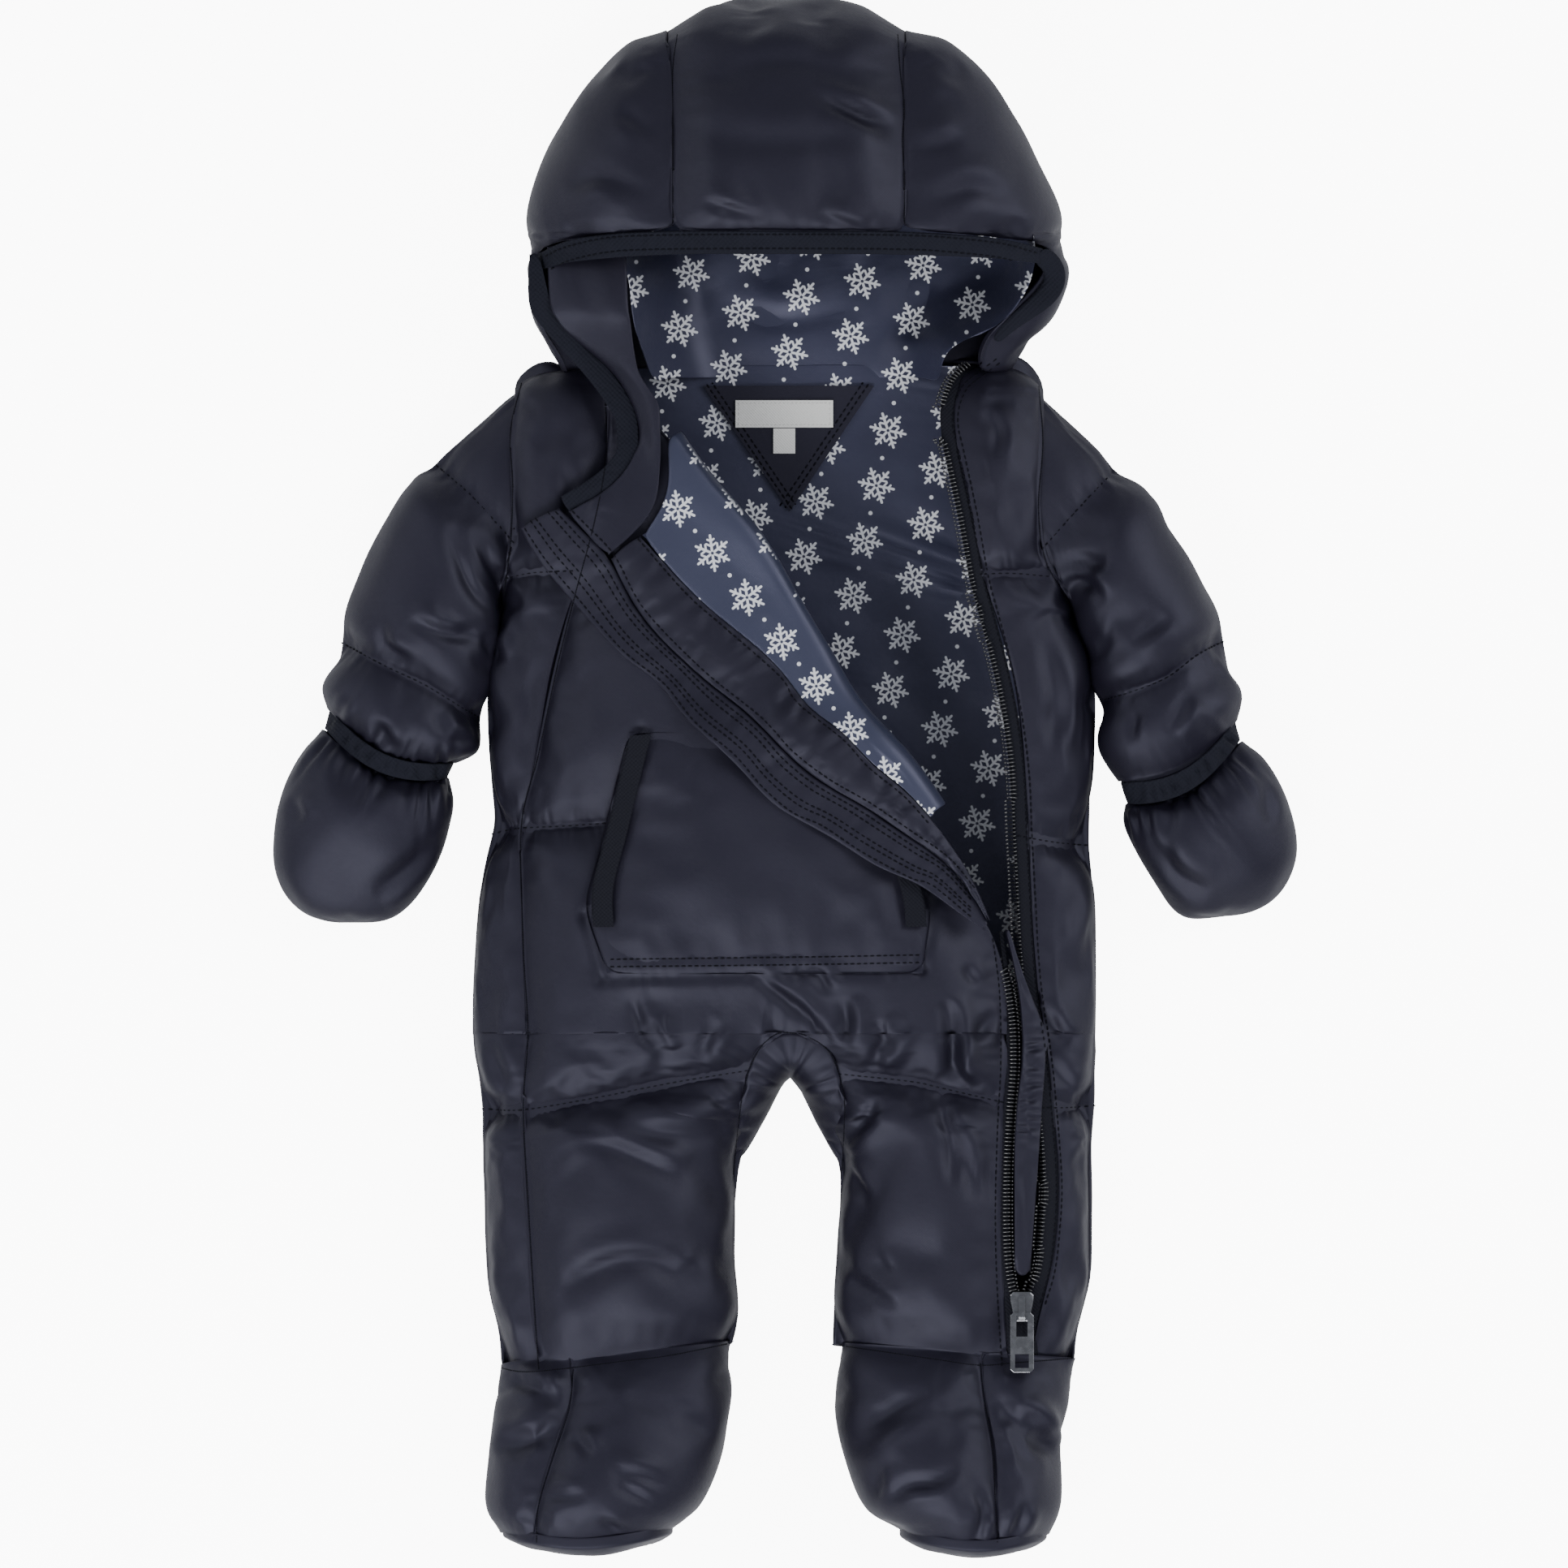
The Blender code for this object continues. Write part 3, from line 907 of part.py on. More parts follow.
def turned_front():
    """Lining, facing and zip guard of the front that is folded open, with its rounded fold."""
    fold = along(FOLD_EDGE[:FOLD_LINED], count=11)
    seam = along(LINING_SEAM, count=11)
    run = np.gradient(fold, axis=0)
    run /= np.linalg.norm(run, axis=1, keepdims=True)
    away = np.column_stack([-run[:, 1], run[:, 0], 0 * run[:, 0]])
    width = np.linalg.norm(fold - seam, axis=1)
    scale = np.clip(ROLL["share"] * width / ROLL["start"], ROLL["least"], 1.0)[:, None]
    start = fold - away[:, :2] * ROLL["start"] * scale
    neck = NECK_SEAM_TURNED + [tuple(start[0])]
    plan = ruled(seam, start, 4, top=neck, gap_left=0.7, gap_right=0.0)
    plan[0] += (0.7, -0.7)
    top = lifted(plan)
    low = TORSO.height(fold[:, 0] - TURN_INSET, fold[:, 1]) - ROLL["clear"]
    columns = [top]
    upwards = np.zeros(top.shape)
    upwards[..., 2] = 1.0
    directions = [upwards]
    for row in ROLL["rows"]:
        z = low + (top[:, -1, 2] - low) * row["level"]
        plan = fold - away[:, :2] * row["back"] * scale
        columns.append(np.column_stack([plan, z])[:, None])
        tilt = math.radians(row["tilt"])
        turned = away * math.sin(tilt)
        turned[:, 2] += math.cos(tilt)
        directions.append(turned[:, None])
    grid_wall("flap_lining", np.concatenate(columns, axis=1), LINED_THICK, LINED,
              out=np.concatenate(directions, axis=1))
    guard_seam = along(GUARD_SEAM[2:], count=len(seam) + len(FACING_END))
    plan = ruled(guard_seam, np.concatenate([seam, FACING_END]), 4, gap_left=0.8, gap_right=0.8)
    plan[0] += (0.4, -0.5)
    grid_wall("flap_facing", lifted(plan), FLAP_THICK, SHELL, puff=FACING_EXTRA)
    guard_seam = np.concatenate([GUARD_SEAM[:2], guard_seam])
    plan = ruled(along(GUARD_EDGE, count=len(guard_seam)), guard_seam, 3, gap_right=0.8)
    grid_wall("zip_guard", lifted(plan), GUARD_THICK, SHELL)
    hood_facing()


def hood_facing():
    left = np.array([(row["in_x"], row["in_y"]) for row in CHEEK_ROWS], float)
    right = np.array([(row["fold_x"], row["fold_y"]) for row in CHEEK_ROWS], float)
    outer = np.array([(row["out_x"], row["out_y"]) for row in CHEEK_ROWS], float)
    level = np.array([(row["z_out"], row["z_fold"]) for row in CHEEK_ROWS], float)
    stations = np.arange(len(CHEEK_ROWS), dtype=float)
    at = np.linspace(0, len(CHEEK_ROWS) - 1, 15)
    left, right, outer, level = (spline(stations, v, at) for v in (left, right, outer, level))
    plan = ruled(left, right, 5, gap_left=0.4, gap_right=0.8)
    share = np.linspace(0.0, 1.0, 5)
    z = level[:, :1] + (level[:, 1:] - level[:, :1]) * share[None, :]
    z = np.maximum(z, np.where(plan[..., 1] < 187, lie(plan[..., 0], plan[..., 1]), 0.0))
    grid = np.concatenate([plan, z[..., None]], axis=-1)
    grid_wall("hood_facing", grid, FLAP_THICK, SHELL, puff=FACING_EXTRA)
    band = ruled(outer, left, 3)
    z = np.maximum(np.repeat(level[:, :1], 3, axis=1),
                   np.where(band[..., 1] < 187, lie(band[..., 0], band[..., 1]), 0.0))
    band = np.concatenate([band, z[..., None]], axis=-1)
    grid_wall("cheek_binding", band, BINDING_THICK, ELASTIC)


def brim_binding():
    """Elastic binding along the hood's brim, under the edge of its three front panels."""
    upper = along(BRIM_UPPER, count=19)
    lower = along(BRIM_LOWER, count=19)
    rows = []
    for share in (0.04, 0.5, 1.0):
        plan = upper + (lower - upper) * share
        s = hood_station(plan[:, 1])
        rows.append(HOOD.point(s, hood_angle(s, plan[:, 0])))
    grid = np.stack(rows, axis=1)
    grid_wall("brim_binding", grid, BRIM_THICK, ELASTIC, towards=(0, 0, 1))


# ---------------------------------------------------------------- pocket
def pocket():
    share = np.linspace(0.0, 1.0, 8)
    right_line = [POCKET["top_right"], POCKET["side_right"], POCKET["bottom_right"]]
    left_line = [POCKET["top_left"], POCKET["side_left"], POCKET["bottom_left"]]
    ys = POCKET["top_left"][1] + (POCKET["bottom_left"][1] - POCKET["top_left"][1]) * share
    left = np.column_stack([x_on(left_line, ys), ys])
    right = np.column_stack([x_on(right_line, ys), ys])
    plan = ruled(left, right, 8, gap_left=0.0, gap_right=0.0)
    z = TORSO.height(plan[..., 0], plan[..., 1]) + PANEL_TOP + POCKET_CLEAR
    grid = np.concatenate([plan, z[..., None]], axis=-1)
    grid_wall("pocket", grid, POCKET_THICK, SHELL, puff=POCKET_PUFF)
    tapes = (("pocket_tape_right", left_line, 1), ("pocket_tape_left", right_line, -1))
    for name, line, step in tapes:
        ys = np.linspace(POCKET["top_left"][1] - 0.5, POCKET_TAPE_END, 6)
        edge = x_on(line, ys)
        near = np.column_stack([edge + step * 0.4, ys])
        far = np.column_stack([edge + step * TAPE_WIDTH, ys])
        plan = ruled(near, far, 2, gap_left=0.0, gap_right=0.0)
        z = TORSO.height(plan[..., 0], plan[..., 1]) + PANEL_TOP + POCKET_CLEAR
        z = z + POCKET_THICK + POCKET_PUFF + SEAM_GAP
        grid = np.concatenate([plan, z[..., None]], axis=-1)
        grid_wall(name, grid, TAPE_THICK, ELASTIC)


# ---------------------------------------------------------------- lining, yoke and labels
def linings():
    stations = np.arange(TORSO.count - 1, dtype=float)
    stations[0] = 0.3
    right_limit, left_limit, _, _ = armhole_limits(stations)
    angles = back_angles(right_limit, left_limit)[:, LINING_COLUMNS]
    inner_face = TORSO.point(stations[:, None], angles)
    out = TORSO.normal(stations[:, None], angles)
    outer = inner_face - out * LINING_CLEAR
    inner = inner_face - out * (LINING_CLEAR + LINING_THICK)
    wall("body_lining", inner, outer, LINED)
    rows = len(HOOD_LINING_ROWS)
    table = np.array([(row["y"], row["left"], row["right"], row["left_z"], row["right_z"])
                      for row in HOOD_LINING_ROWS], float)
    table = spline(np.arange(rows), table, np.linspace(0, rows - 1, 10))
    share = np.array([0, 0.05, 0.11, 0.2, 0.35, 0.5, 0.65, 0.8, 0.89, 0.95, 1.0])
    y, left, right, left_z, right_z = (column[:, None] for column in table.T)
    x = left + (right - left) * share[None, :]
    slope = HOOD_LINING_SLOPE
    near_left = np.clip(1 - (x - left) / slope, 0, 1) ** 2
    near_right = np.clip(1 - (right - x) / slope, 0, 1) ** 2
    z = HOOD_LINING_Z + (left_z - HOOD_LINING_Z) * near_left + (right_z - HOOD_LINING_Z) * near_right
    grid = np.stack(np.broadcast_arrays(x, y, z), axis=-1)
    grid_wall("hood_lining", grid, LINING_THICK, LINED)


def plate(name, corners, low, thick, finish, rounding=0.0):
    """A flat plate from its plan corners, at a height."""
    corners = np.asarray(corners, float)
    count = len(corners)
    points = [(x, y, low) for x, y in corners] + [(x, y, low + thick) for x, y in corners]
    faces = [tuple(range(count - 1, -1, -1)), tuple(range(count, 2 * count))]
    for k in range(count):
        n = (k + 1) % count
        faces.append((k, n, count + n, count + k))
    made = solid(name, points, faces, finish, flat=True)
    if rounding:
        bevel = made.modifiers.new("rounded", "BEVEL")
        bevel.width = rounding * MM
        bevel.segments = 2
        bevel.limit_method = "ANGLE"
    return made


def box_corners(x, y, width, height):
    return [(x - width / 2, y - height / 2), (x + width / 2, y - height / 2),
            (x + width / 2, y + height / 2), (x - width / 2, y + height / 2)]


def labels():
    bed = TORSO.under + LINING_CLEAR + LINING_THICK
    step = 0.4
    plate("back_yoke", [VEE["right"], VEE["left"], VEE["tip"]][::-1], bed + step, 1.2, SHELL)
    low = bed + step * 2 + 1.2
    plate("neck_label", box_corners(**LABEL), low, 0.8, (LABEL_WHITE, 0.7))
    plate("size_tag", box_corners(**SIZE_TAG), low, 0.5, (LABEL_WHITE, 0.7))


# ---------------------------------------------------------------- zip
def zip_tapes():
    body = np.arange(TORSO.count, dtype=float)
    legs = np.array([0.5, 1, 1.5, 2, 2.5, 3, 3.5, 4, 5, 6, 7, 7.9])
    both = []
    for tube, stations in ((TORSO, body), (LEG_LEFT, legs)):
        near = tube.angle_of(stations, ZIP_LEFT_LINE)
        far = tube.angle_of(stations, ZIP_LEFT_LINE, ZIP_TAPE_VISIBLE - SEAM_GAP)
        angles = near[:, None] + (far - near)[:, None] * np.array([0, 1])[None, :]
        both.append((tube.point(stations[:, None], angles), tube.normal(stations[:, None], angles)))
    ribbon("zip_tape_left", both)
    both = []
    for tube, stations in ((TORSO, body[15:]), (LEG_LEFT, legs)):
        near = tube.angle_of(stations, FRONT_ZIP_EDGE, SEAM_GAP)
        far = tube.angle_of(stations, ZIP_RIGHT_LINE)
        far = np.maximum(far, near + 1.0)
        angles = near[:, None] + (far - near)[:, None] * np.array([0, 1])[None, :]
        both.append((tube.point(stations[:, None], angles), tube.normal(stations[:, None], angles)))
    ribbon("zip_tape_right", both)
    both = []
    for tube, stations in ((TORSO, body[15:]), (LEG_LEFT, legs[:-4])):
        near = tube.angle_of(stations, ZIP_RIGHT_LINE, GUARD_OFFSET)
        far = tube.angle_of(stations, GUARD_LOW)
        far = np.maximum(far, near + 1.0)
        angles = near[:, None] + (far - near)[:, None] * np.array([0, 0.5, 1])[None, :]
        both.append((tube.point(stations[:, None], angles), tube.normal(stations[:, None], angles)))
    ribbon("zip_guard_lower", both, GUARD_RAISE, GUARD_THICK)


def ribbon(name, parts, raise_by=TAPE_RAISE, thick=TAPE_THICK):
    """A tape along the zip, from points of the torso and of the leg, moved out."""
    points = np.concatenate([part[0] for part in parts])
    out = np.concatenate([part[1] for part in parts])
    wall(name, points + out * raise_by, points + out * (raise_by + thick), ELASTIC)


def zip_slider():
    """Slider body with its bridge, and the pull tab hung under the bridge's strap."""
    x, y0, y1 = SLIDER["x"], SLIDER["top_y"], SLIDER["low_y"]
    low = SLIDER["z"]
    top = low + SLIDER["thick"]
    half = SLIDER["width"] / 2
    nose = half * 0.62
    outline = [(x - nose, y1), (x + nose, y1), (x + half, y0 - 4), (x + half, y0 - 1.5),
               (x + half - 1.5, y0), (x - half + 1.5, y0), (x - half, y0 - 1.5), (x - half, y0 - 4)]
    body = plate("zip_slider", outline, low, SLIDER["thick"], (GUNMETAL, 0.3, 1.0), rounding=0.7)
    strap = BRIDGE["strap"]
    wide = BRIDGE["width"] / 2
    inside = BRIDGE["rise"]
    ya, yb = y0 - 2.0, y0 - 2.0 - BRIDGE["length"]
    profile = [(ya, top - 0.5), (ya, top + inside + strap - 0.6), (ya - 1.2, top + inside + strap),
               (yb + 1.2, top + inside + strap), (yb, top + inside + strap - 0.6), (yb, top - 0.5),
               (yb + strap, top - 0.5), (yb + strap, top + inside), (ya - strap, top + inside),
               (ya - strap, top - 0.5)]
    count = len(profile)
    points = [(x - wide, y, z) for y, z in profile] + [(x + wide, y, z) for y, z in profile]
    faces = [tuple(range(count)), tuple(range(2 * count - 1, count - 1, -1))]
    for k in range(count):
        n = (k + 1) % count
        faces.append((n, k, count + k, count + n))
    bridge = solid("bridge", points, faces, (GUNMETAL, 0.3, 1.0), flat=True)
    join = body.modifiers.new("bridge", "BOOLEAN")
    join.operation = "UNION"
    join.object = bridge
    bridge.hide_render = True
    bridge.display_type = "WIRE"
    pull_tab(x, y0 - 2.0 - BRIDGE["length"] + strap + 0.35, top)


def pull_tab(x, bar_low, slider_top):
    """Tab with a slot for the bridge near its top and a square window near its end; its crossbar
    turns under the bridge, and the object's origin is on that axis."""
    bar = PULL["bar"]
    axis_y = bar_low + bar / 2
    axis_z = slider_top + PULL["axis_rise"]
    top_y = bar_low + bar
    end_y = top_y - PULL["length"]
    half = PULL["width"] / 2
    cut = 1.6
    outline = [(x - half + cut, end_y), (x + half - cut, end_y), (x + half, end_y + cut),
               (x + half, top_y - cut), (x + half - cut, top_y), (x - half + cut, top_y),
               (x - half, top_y - cut), (x - half, end_y + cut)]
    low = axis_z - PULL["thick"] / 2
    tab = plate("pull_tab", outline, low, PULL["thick"], (GUNMETAL, 0.3, 1.0), rounding=0.35)
    slot = plate("slot_cutter", box_corners(x, bar_low - PULL["slot_length"] / 2, PULL["slot_width"],
                                            PULL["slot_length"]), low - 2, PULL["thick"] + 4,
                 (GUNMETAL, 0.3, 1.0))
    side = PULL["window"]
    window = plate("window_cutter", box_corners(x, end_y + 2.2 + side / 2, side, side), low - 2,
                   PULL["thick"] + 4, (GUNMETAL, 0.3, 1.0))
    for cutter in (slot, window):
        cut_away = tab.modifiers.new(cutter.name, "BOOLEAN")
        cut_away.operation = "DIFFERENCE"
        cut_away.object = cutter
        cutter.hide_render = True
        cutter.display_type = "WIRE"
    axis = ((x - MIDDLE[0]) * MM, (axis_y - MIDDLE[1]) * MM, axis_z * MM)
    for vertex in tab.data.vertices:
        vertex.co = [value - origin for value, origin in zip(vertex.co, axis)]
    tab.location = axis


def build():
    """Make every piece of the suit in an empty scene."""
    for item in list(bpy.data.objects):
        bpy.data.objects.remove(item, do_unlink=True)
    body_pieces()
    crotch_gusset(leg_pieces())
    arm_pieces("right", SLEEVE_RIGHT_ROWS, ARMHOLE_RIGHT, -ARMHOLE_GAP, MITTEN_RIGHT_ROWS,
               UPPER_STITCH_RIGHT, ELBOW_STITCH_RIGHT)
    arm_pieces("left", SLEEVE_LEFT_ROWS, ARMHOLE_LEFT, ARMHOLE_GAP, MITTEN_LEFT_ROWS,
               UPPER_STITCH_LEFT, ELBOW_STITCH_LEFT)
    boot_pieces("right", BOOT_RIGHT_ROWS, BOOT_SEAM_RIGHT, True)
    boot_pieces("left", BOOT_LEFT_ROWS, BOOT_SEAM_LEFT, False)
    hood_side("hood_side_right", HOOD_SEAM_RIGHT, HOOD_EDGE_RIGHT, 1)
    hood_side("hood_side_left", HOOD_SEAM_LEFT, HOOD_EDGE_LEFT, -1)
    hood_centre()
    brim_binding()
    turned_front()
    pocket()
    linings()
    labels()
    zip_tapes()
    zip_slider()


build()
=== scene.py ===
# %% [markdown]
# # A padded baby snowsuit, dressed in Blender
# The suit lies on its back. Its zip is open down to the ankle, and the upper front is folded out
# over the chest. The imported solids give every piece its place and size, and this file gives each
# of them its cloth: puffed panels between stitch lines, creases, puckers, printed lining, knitted
# bindings, a coil zip and its slider.

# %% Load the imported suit
import math

import bmesh
import bpy
import numpy as np
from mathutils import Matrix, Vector
from mathutils.bvhtree import BVHTree


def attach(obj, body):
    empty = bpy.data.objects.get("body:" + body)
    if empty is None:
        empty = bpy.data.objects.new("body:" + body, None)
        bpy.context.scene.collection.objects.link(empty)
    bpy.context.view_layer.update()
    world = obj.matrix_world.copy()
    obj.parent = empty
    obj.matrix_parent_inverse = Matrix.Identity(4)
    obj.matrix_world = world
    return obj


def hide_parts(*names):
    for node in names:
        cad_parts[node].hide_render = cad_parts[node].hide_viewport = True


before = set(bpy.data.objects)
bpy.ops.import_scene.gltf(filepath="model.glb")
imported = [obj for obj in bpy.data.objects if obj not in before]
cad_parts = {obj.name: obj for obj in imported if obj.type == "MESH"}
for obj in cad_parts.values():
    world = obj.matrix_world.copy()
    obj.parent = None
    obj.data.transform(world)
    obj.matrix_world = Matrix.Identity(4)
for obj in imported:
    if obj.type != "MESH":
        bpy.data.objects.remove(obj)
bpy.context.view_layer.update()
MM = 0.001

# %% [markdown]
# ## Camera and floor
# A garment laid flat is looked at straight from above. A parallel camera keeps every length true,
# so what is measured in the picture is measured on the cloth. The floor glows for the camera
# alone, which makes the paper white in the picture and sheds no extra light on the cloth.

# %% Camera and floor
FRAME_WIDTH = 1932 * 0.375 * MM      # the picture's width on the floor
FRAME_CENTRE = (-0.2 * MM, -0.7 * MM)
CAMERA_HEIGHT = 2.0          # m
FLOOR_HALF = 1.6             # m
PAPER_COLOUR = (0.95, 0.95, 0.95, 1)
PAPER_GLOW = 9.0


def add_object(name, data):
    """A new object at the origin, linked into the scene."""
    made = bpy.data.objects.new(name, data)
    bpy.context.collection.objects.link(made)
    return made


def new_material(name):
    """A new material, its node tree and its Principled shader."""
    made = bpy.data.materials.new(name)
    made.use_nodes = True
    return made, made.node_tree, made.node_tree.nodes["Principled BSDF"]


def add_node(tree, kind, links=(), **settings):
    """A node with its settings; links are (input name or index, socket or value) rows."""
    node = tree.nodes.new(kind)
    for key, value in settings.items():
        setattr(node, key, value)
    for where, value in links:
        if isinstance(value, bpy.types.NodeSocket):
            tree.links.new(value, node.inputs[where])
        else:
            node.inputs[where].default_value = value
    return node


def add_math(tree, operation, *values):
    """What one Math node puts out, from sockets or numbers."""
    rows = list(enumerate(values))
    return add_node(tree, "ShaderNodeMath", rows, operation=operation).outputs[0]


def add_camera():
    camera = add_object("camera", bpy.data.cameras.new("camera"))
    camera.data.type = "ORTHO"
    camera.data.ortho_scale = FRAME_WIDTH
    camera.location = (*FRAME_CENTRE, CAMERA_HEIGHT)
    camera.data.clip_end = 5 * CAMERA_HEIGHT
    bpy.context.scene.camera = camera


def add_floor():
    half = FLOOR_HALF
    mesh = bpy.data.meshes.new("floor")
    corners = [(-half, -half, 0), (half, -half, 0), (half, half, 0), (-half, half, 0)]
    mesh.from_pydata(corners, [], [(0, 1, 2, 3)])
    floor = add_object("floor", mesh)
    paper, tree, shader = new_material("floor_paper")
    shader.inputs["Base Color"].default_value = PAPER_COLOUR
    shader.inputs["Roughness"].default_value = 0.9
    shader.inputs["Emission Color"].default_value = (1, 1, 1, 1)
    seen = add_node(tree, "ShaderNodeLightPath").outputs["Is Camera Ray"]
    glow = add_math(tree, "MULTIPLY", seen, PAPER_GLOW)
    tree.links.new(glow, shader.inputs["Emission Strength"])
    mesh.materials.append(paper)


add_camera()
add_floor()
print("the picture shows", round(FRAME_WIDTH / MM), "mm of the floor")

# %% [markdown]
# ## Light
# Dark satin shows nothing but the soft reflection of its lamps, so the lamps are big soft panels.
# The strongest stands beyond the feet and rakes over the creases; two weaker ones at the sides and
# a pale room keep the shadows open.

# %% Lamps and room
LAMPS = [                    # name, place, aim, size in m, power in W
    ("foot_softbox", (-0.5, -1.5, 1.5), (0, -0.05, 0), (1.2, 0.7), 42),
    ("left_softbox", (-1.6, 0.6, 1.2), (0, 0, 0), (0.7, 1.0), 10),
    ("right_softbox", (1.5, 0.5, 1.2), (0, 0, 0), (0.7, 1.0), 22)]
ROOM_COLOUR = (0.9, 0.93, 1.0, 1)
ROOM_STRENGTH = 0.58

for name, place, aim, size, power in LAMPS:
    lamp = add_object(name, bpy.data.lights.new(name, "AREA"))
    lamp.data.shape = "RECTANGLE"
    lamp.data.size, lamp.data.size_y = size
    lamp.data.energy = power
    lamp.location = place
    lamp.rotation_euler = (Vector(aim) - Vector(place)).to_track_quat("-Z", "Y").to_euler()
world = bpy.data.worlds.new("studio")
world.use_nodes = True
room = world.node_tree.nodes["Background"]
room.inputs["Color"].default_value = ROOM_COLOUR
room.inputs["Strength"].default_value = ROOM_STRENGTH
bpy.context.scene.world = world
print(len(LAMPS), "lamps and a room")

# %% [markdown]
# ## Weave
# The satin shell, the lining and the knitted bindings share a few effects. Each effect is one node
# group with named inputs, built once and set differently in each cloth. The first is the weave:
# two sets of threads over and under each other, which two crossed waves draw as a height.

# %% Weave group
THREADS = 2600.0             # per metre, as in fine satin


def new_group(name, inputs, outputs, kind="ShaderNodeTree"):
    """An empty node group and the sockets it is given and gives; inputs are (name, socket kind,
    value) rows, outputs (name, socket kind) rows."""
    group = bpy.data.node_groups.new(name, kind)
    for label, socket_kind, value in inputs:
        socket = group.interface.new_socket(name=label, in_out="INPUT", socket_type=socket_kind)
        if value is not None:
            socket.default_value = value
    for label, socket_kind in outputs:
        group.interface.new_socket(name=label, in_out="OUTPUT", socket_type=socket_kind)
    given, made = group.nodes.new("NodeGroupInput"), group.nodes.new("NodeGroupOutput")
    return group, given.outputs, made.inputs


def weave_group():
    group, given, made = new_group(
        "woven_threads",
        [("Vector", "NodeSocketVector", None), ("Threads per metre", "NodeSocketFloat", THREADS)],
        [("Height", "NodeSocketFloat")])
    turns = add_math(group, "MULTIPLY", given["Threads per metre"], math.pi)
    place = add_node(group, "ShaderNodeVectorMath", [(0, given["Vector"]), ("Scale", turns)],
                     operation="SCALE")
    parts = add_node(group, "ShaderNodeSeparateXYZ", [(0, place.outputs[0])]).outputs
    across, down = (add_math(group, "SINE", parts[axis]) for axis in "XY")
    group.links.new(add_math(group, "MULTIPLY", across, down), made["Height"])
    return group


WEAVE = weave_group()
print("the weave has", len(WEAVE.nodes), "nodes")

# %% [markdown]
# ## Clouded dye
# Dyed cloth is never quite even: its colour clouds, its gloss is rubbed here and there, and some
# threads are thicker than the others. One slow noise gives the clouding and the rubbing together,
# and a fine one lifts the thick threads, which weavers call slubs.

# %% Clouding group
SLUB_NOISE = 420.0           # per metre
RUBBED = (0.35, 0.7)         # values of the slow noise between which rubbing sets in


def cloud_group():
    group, given, made = new_group(
        "clouded_dye",
        [("Vector", "NodeSocketVector", None), ("Cloud size", "NodeSocketFloat", 30.0),
         ("Dark", "NodeSocketColor", None), ("Light", "NodeSocketColor", None)],
        [("Color", "NodeSocketColor"), ("Rub", "NodeSocketFloat"), ("Slub", "NodeSocketFloat")])
    cloud = add_node(group, "ShaderNodeTexNoise", [
        ("Vector", given["Vector"]), ("Scale", given["Cloud size"]), ("Detail", 4.0)])
    shade = cloud.outputs["Fac"]
    mixed = add_node(group, "ShaderNodeMix", [(0, shade), (6, given["Dark"]), (7, given["Light"])],
                     data_type="RGBA")
    rub = add_node(group, "ShaderNodeMapRange", [
        ("Value", shade), ("From Min", RUBBED[0]), ("From Max", RUBBED[1])])
    fine = add_node(group, "ShaderNodeTexNoise", [
        ("Vector", given["Vector"]), ("Scale", SLUB_NOISE), ("Detail", 3.0)])
    group.links.new(mixed.outputs[2], made["Color"])
    group.links.new(rub.outputs[0], made["Rub"])
    group.links.new(fine.outputs["Fac"], made["Slub"])
    return group


CLOUD = cloud_group()
print("the clouding has", len(CLOUD.nodes), "nodes")

# %% [markdown]
# ## A print of snowflakes
# The lining carries an off-white all-over print. A snowflake has six equal arms, so the place
# inside its cell is folded into one sixth, and an arm with two twigs is drawn there once. Every
# second column of cells is moved by half a cell, as printers do to hide the repeat, and a small
# dot sits between the flakes.

# %% Snowflake print group
PRINT_REPEAT = 26.0          # mm
ARM_BARS = [                 # start on the arm, tilt, length and half-width, in mm
    (1.2, 0.0, 7.0, 0.55), (3.2, math.pi / 3, 2.6, 0.45), (5.6, math.pi / 3, 1.7, 0.45)]
DOT_RADIUS = (0.8, 1.1)      # mm, where the dot's edge starts and ends
PRINT_COLOUR = (0.62, 0.63, 0.66, 1)


def length_of(tree, x, y):
    squares = [add_math(tree, "POWER", part, 2.0) for part in (x, y)]
    return add_math(tree, "SQRT", add_math(tree, "ADD", *squares))


def inside(tree, gap, full, none):
    """1 up to the first distance, fading to 0 at the second."""
    return add_node(tree, "ShaderNodeMapRange", [
        ("Value", gap), ("From Min", full), ("From Max", none), ("To Min", 1.0),
        ("To Max", 0.0)]).outputs[0]


def bar_mask(tree, u, v, start, tilt, length, half_width):
    """1 on a bar that starts on the arm and leans by a tilt, within its length and width."""
    def do(operation, *values):
        return add_math(tree, operation, *values)

    shifted = do("SUBTRACT", u, start)
    along = do("ADD", do("MULTIPLY", shifted, math.cos(tilt)), do("MULTIPLY", v, math.sin(tilt)))
    across = do("SUBTRACT", do("MULTIPLY", shifted, math.sin(tilt)),
                do("MULTIPLY", v, math.cos(tilt)))
    beyond = do("SUBTRACT", along, do("MAXIMUM", 0.0, do("MINIMUM", along, length)))
    return inside(tree, length_of(tree, across, beyond), half_width * 0.8, half_width * 1.25)


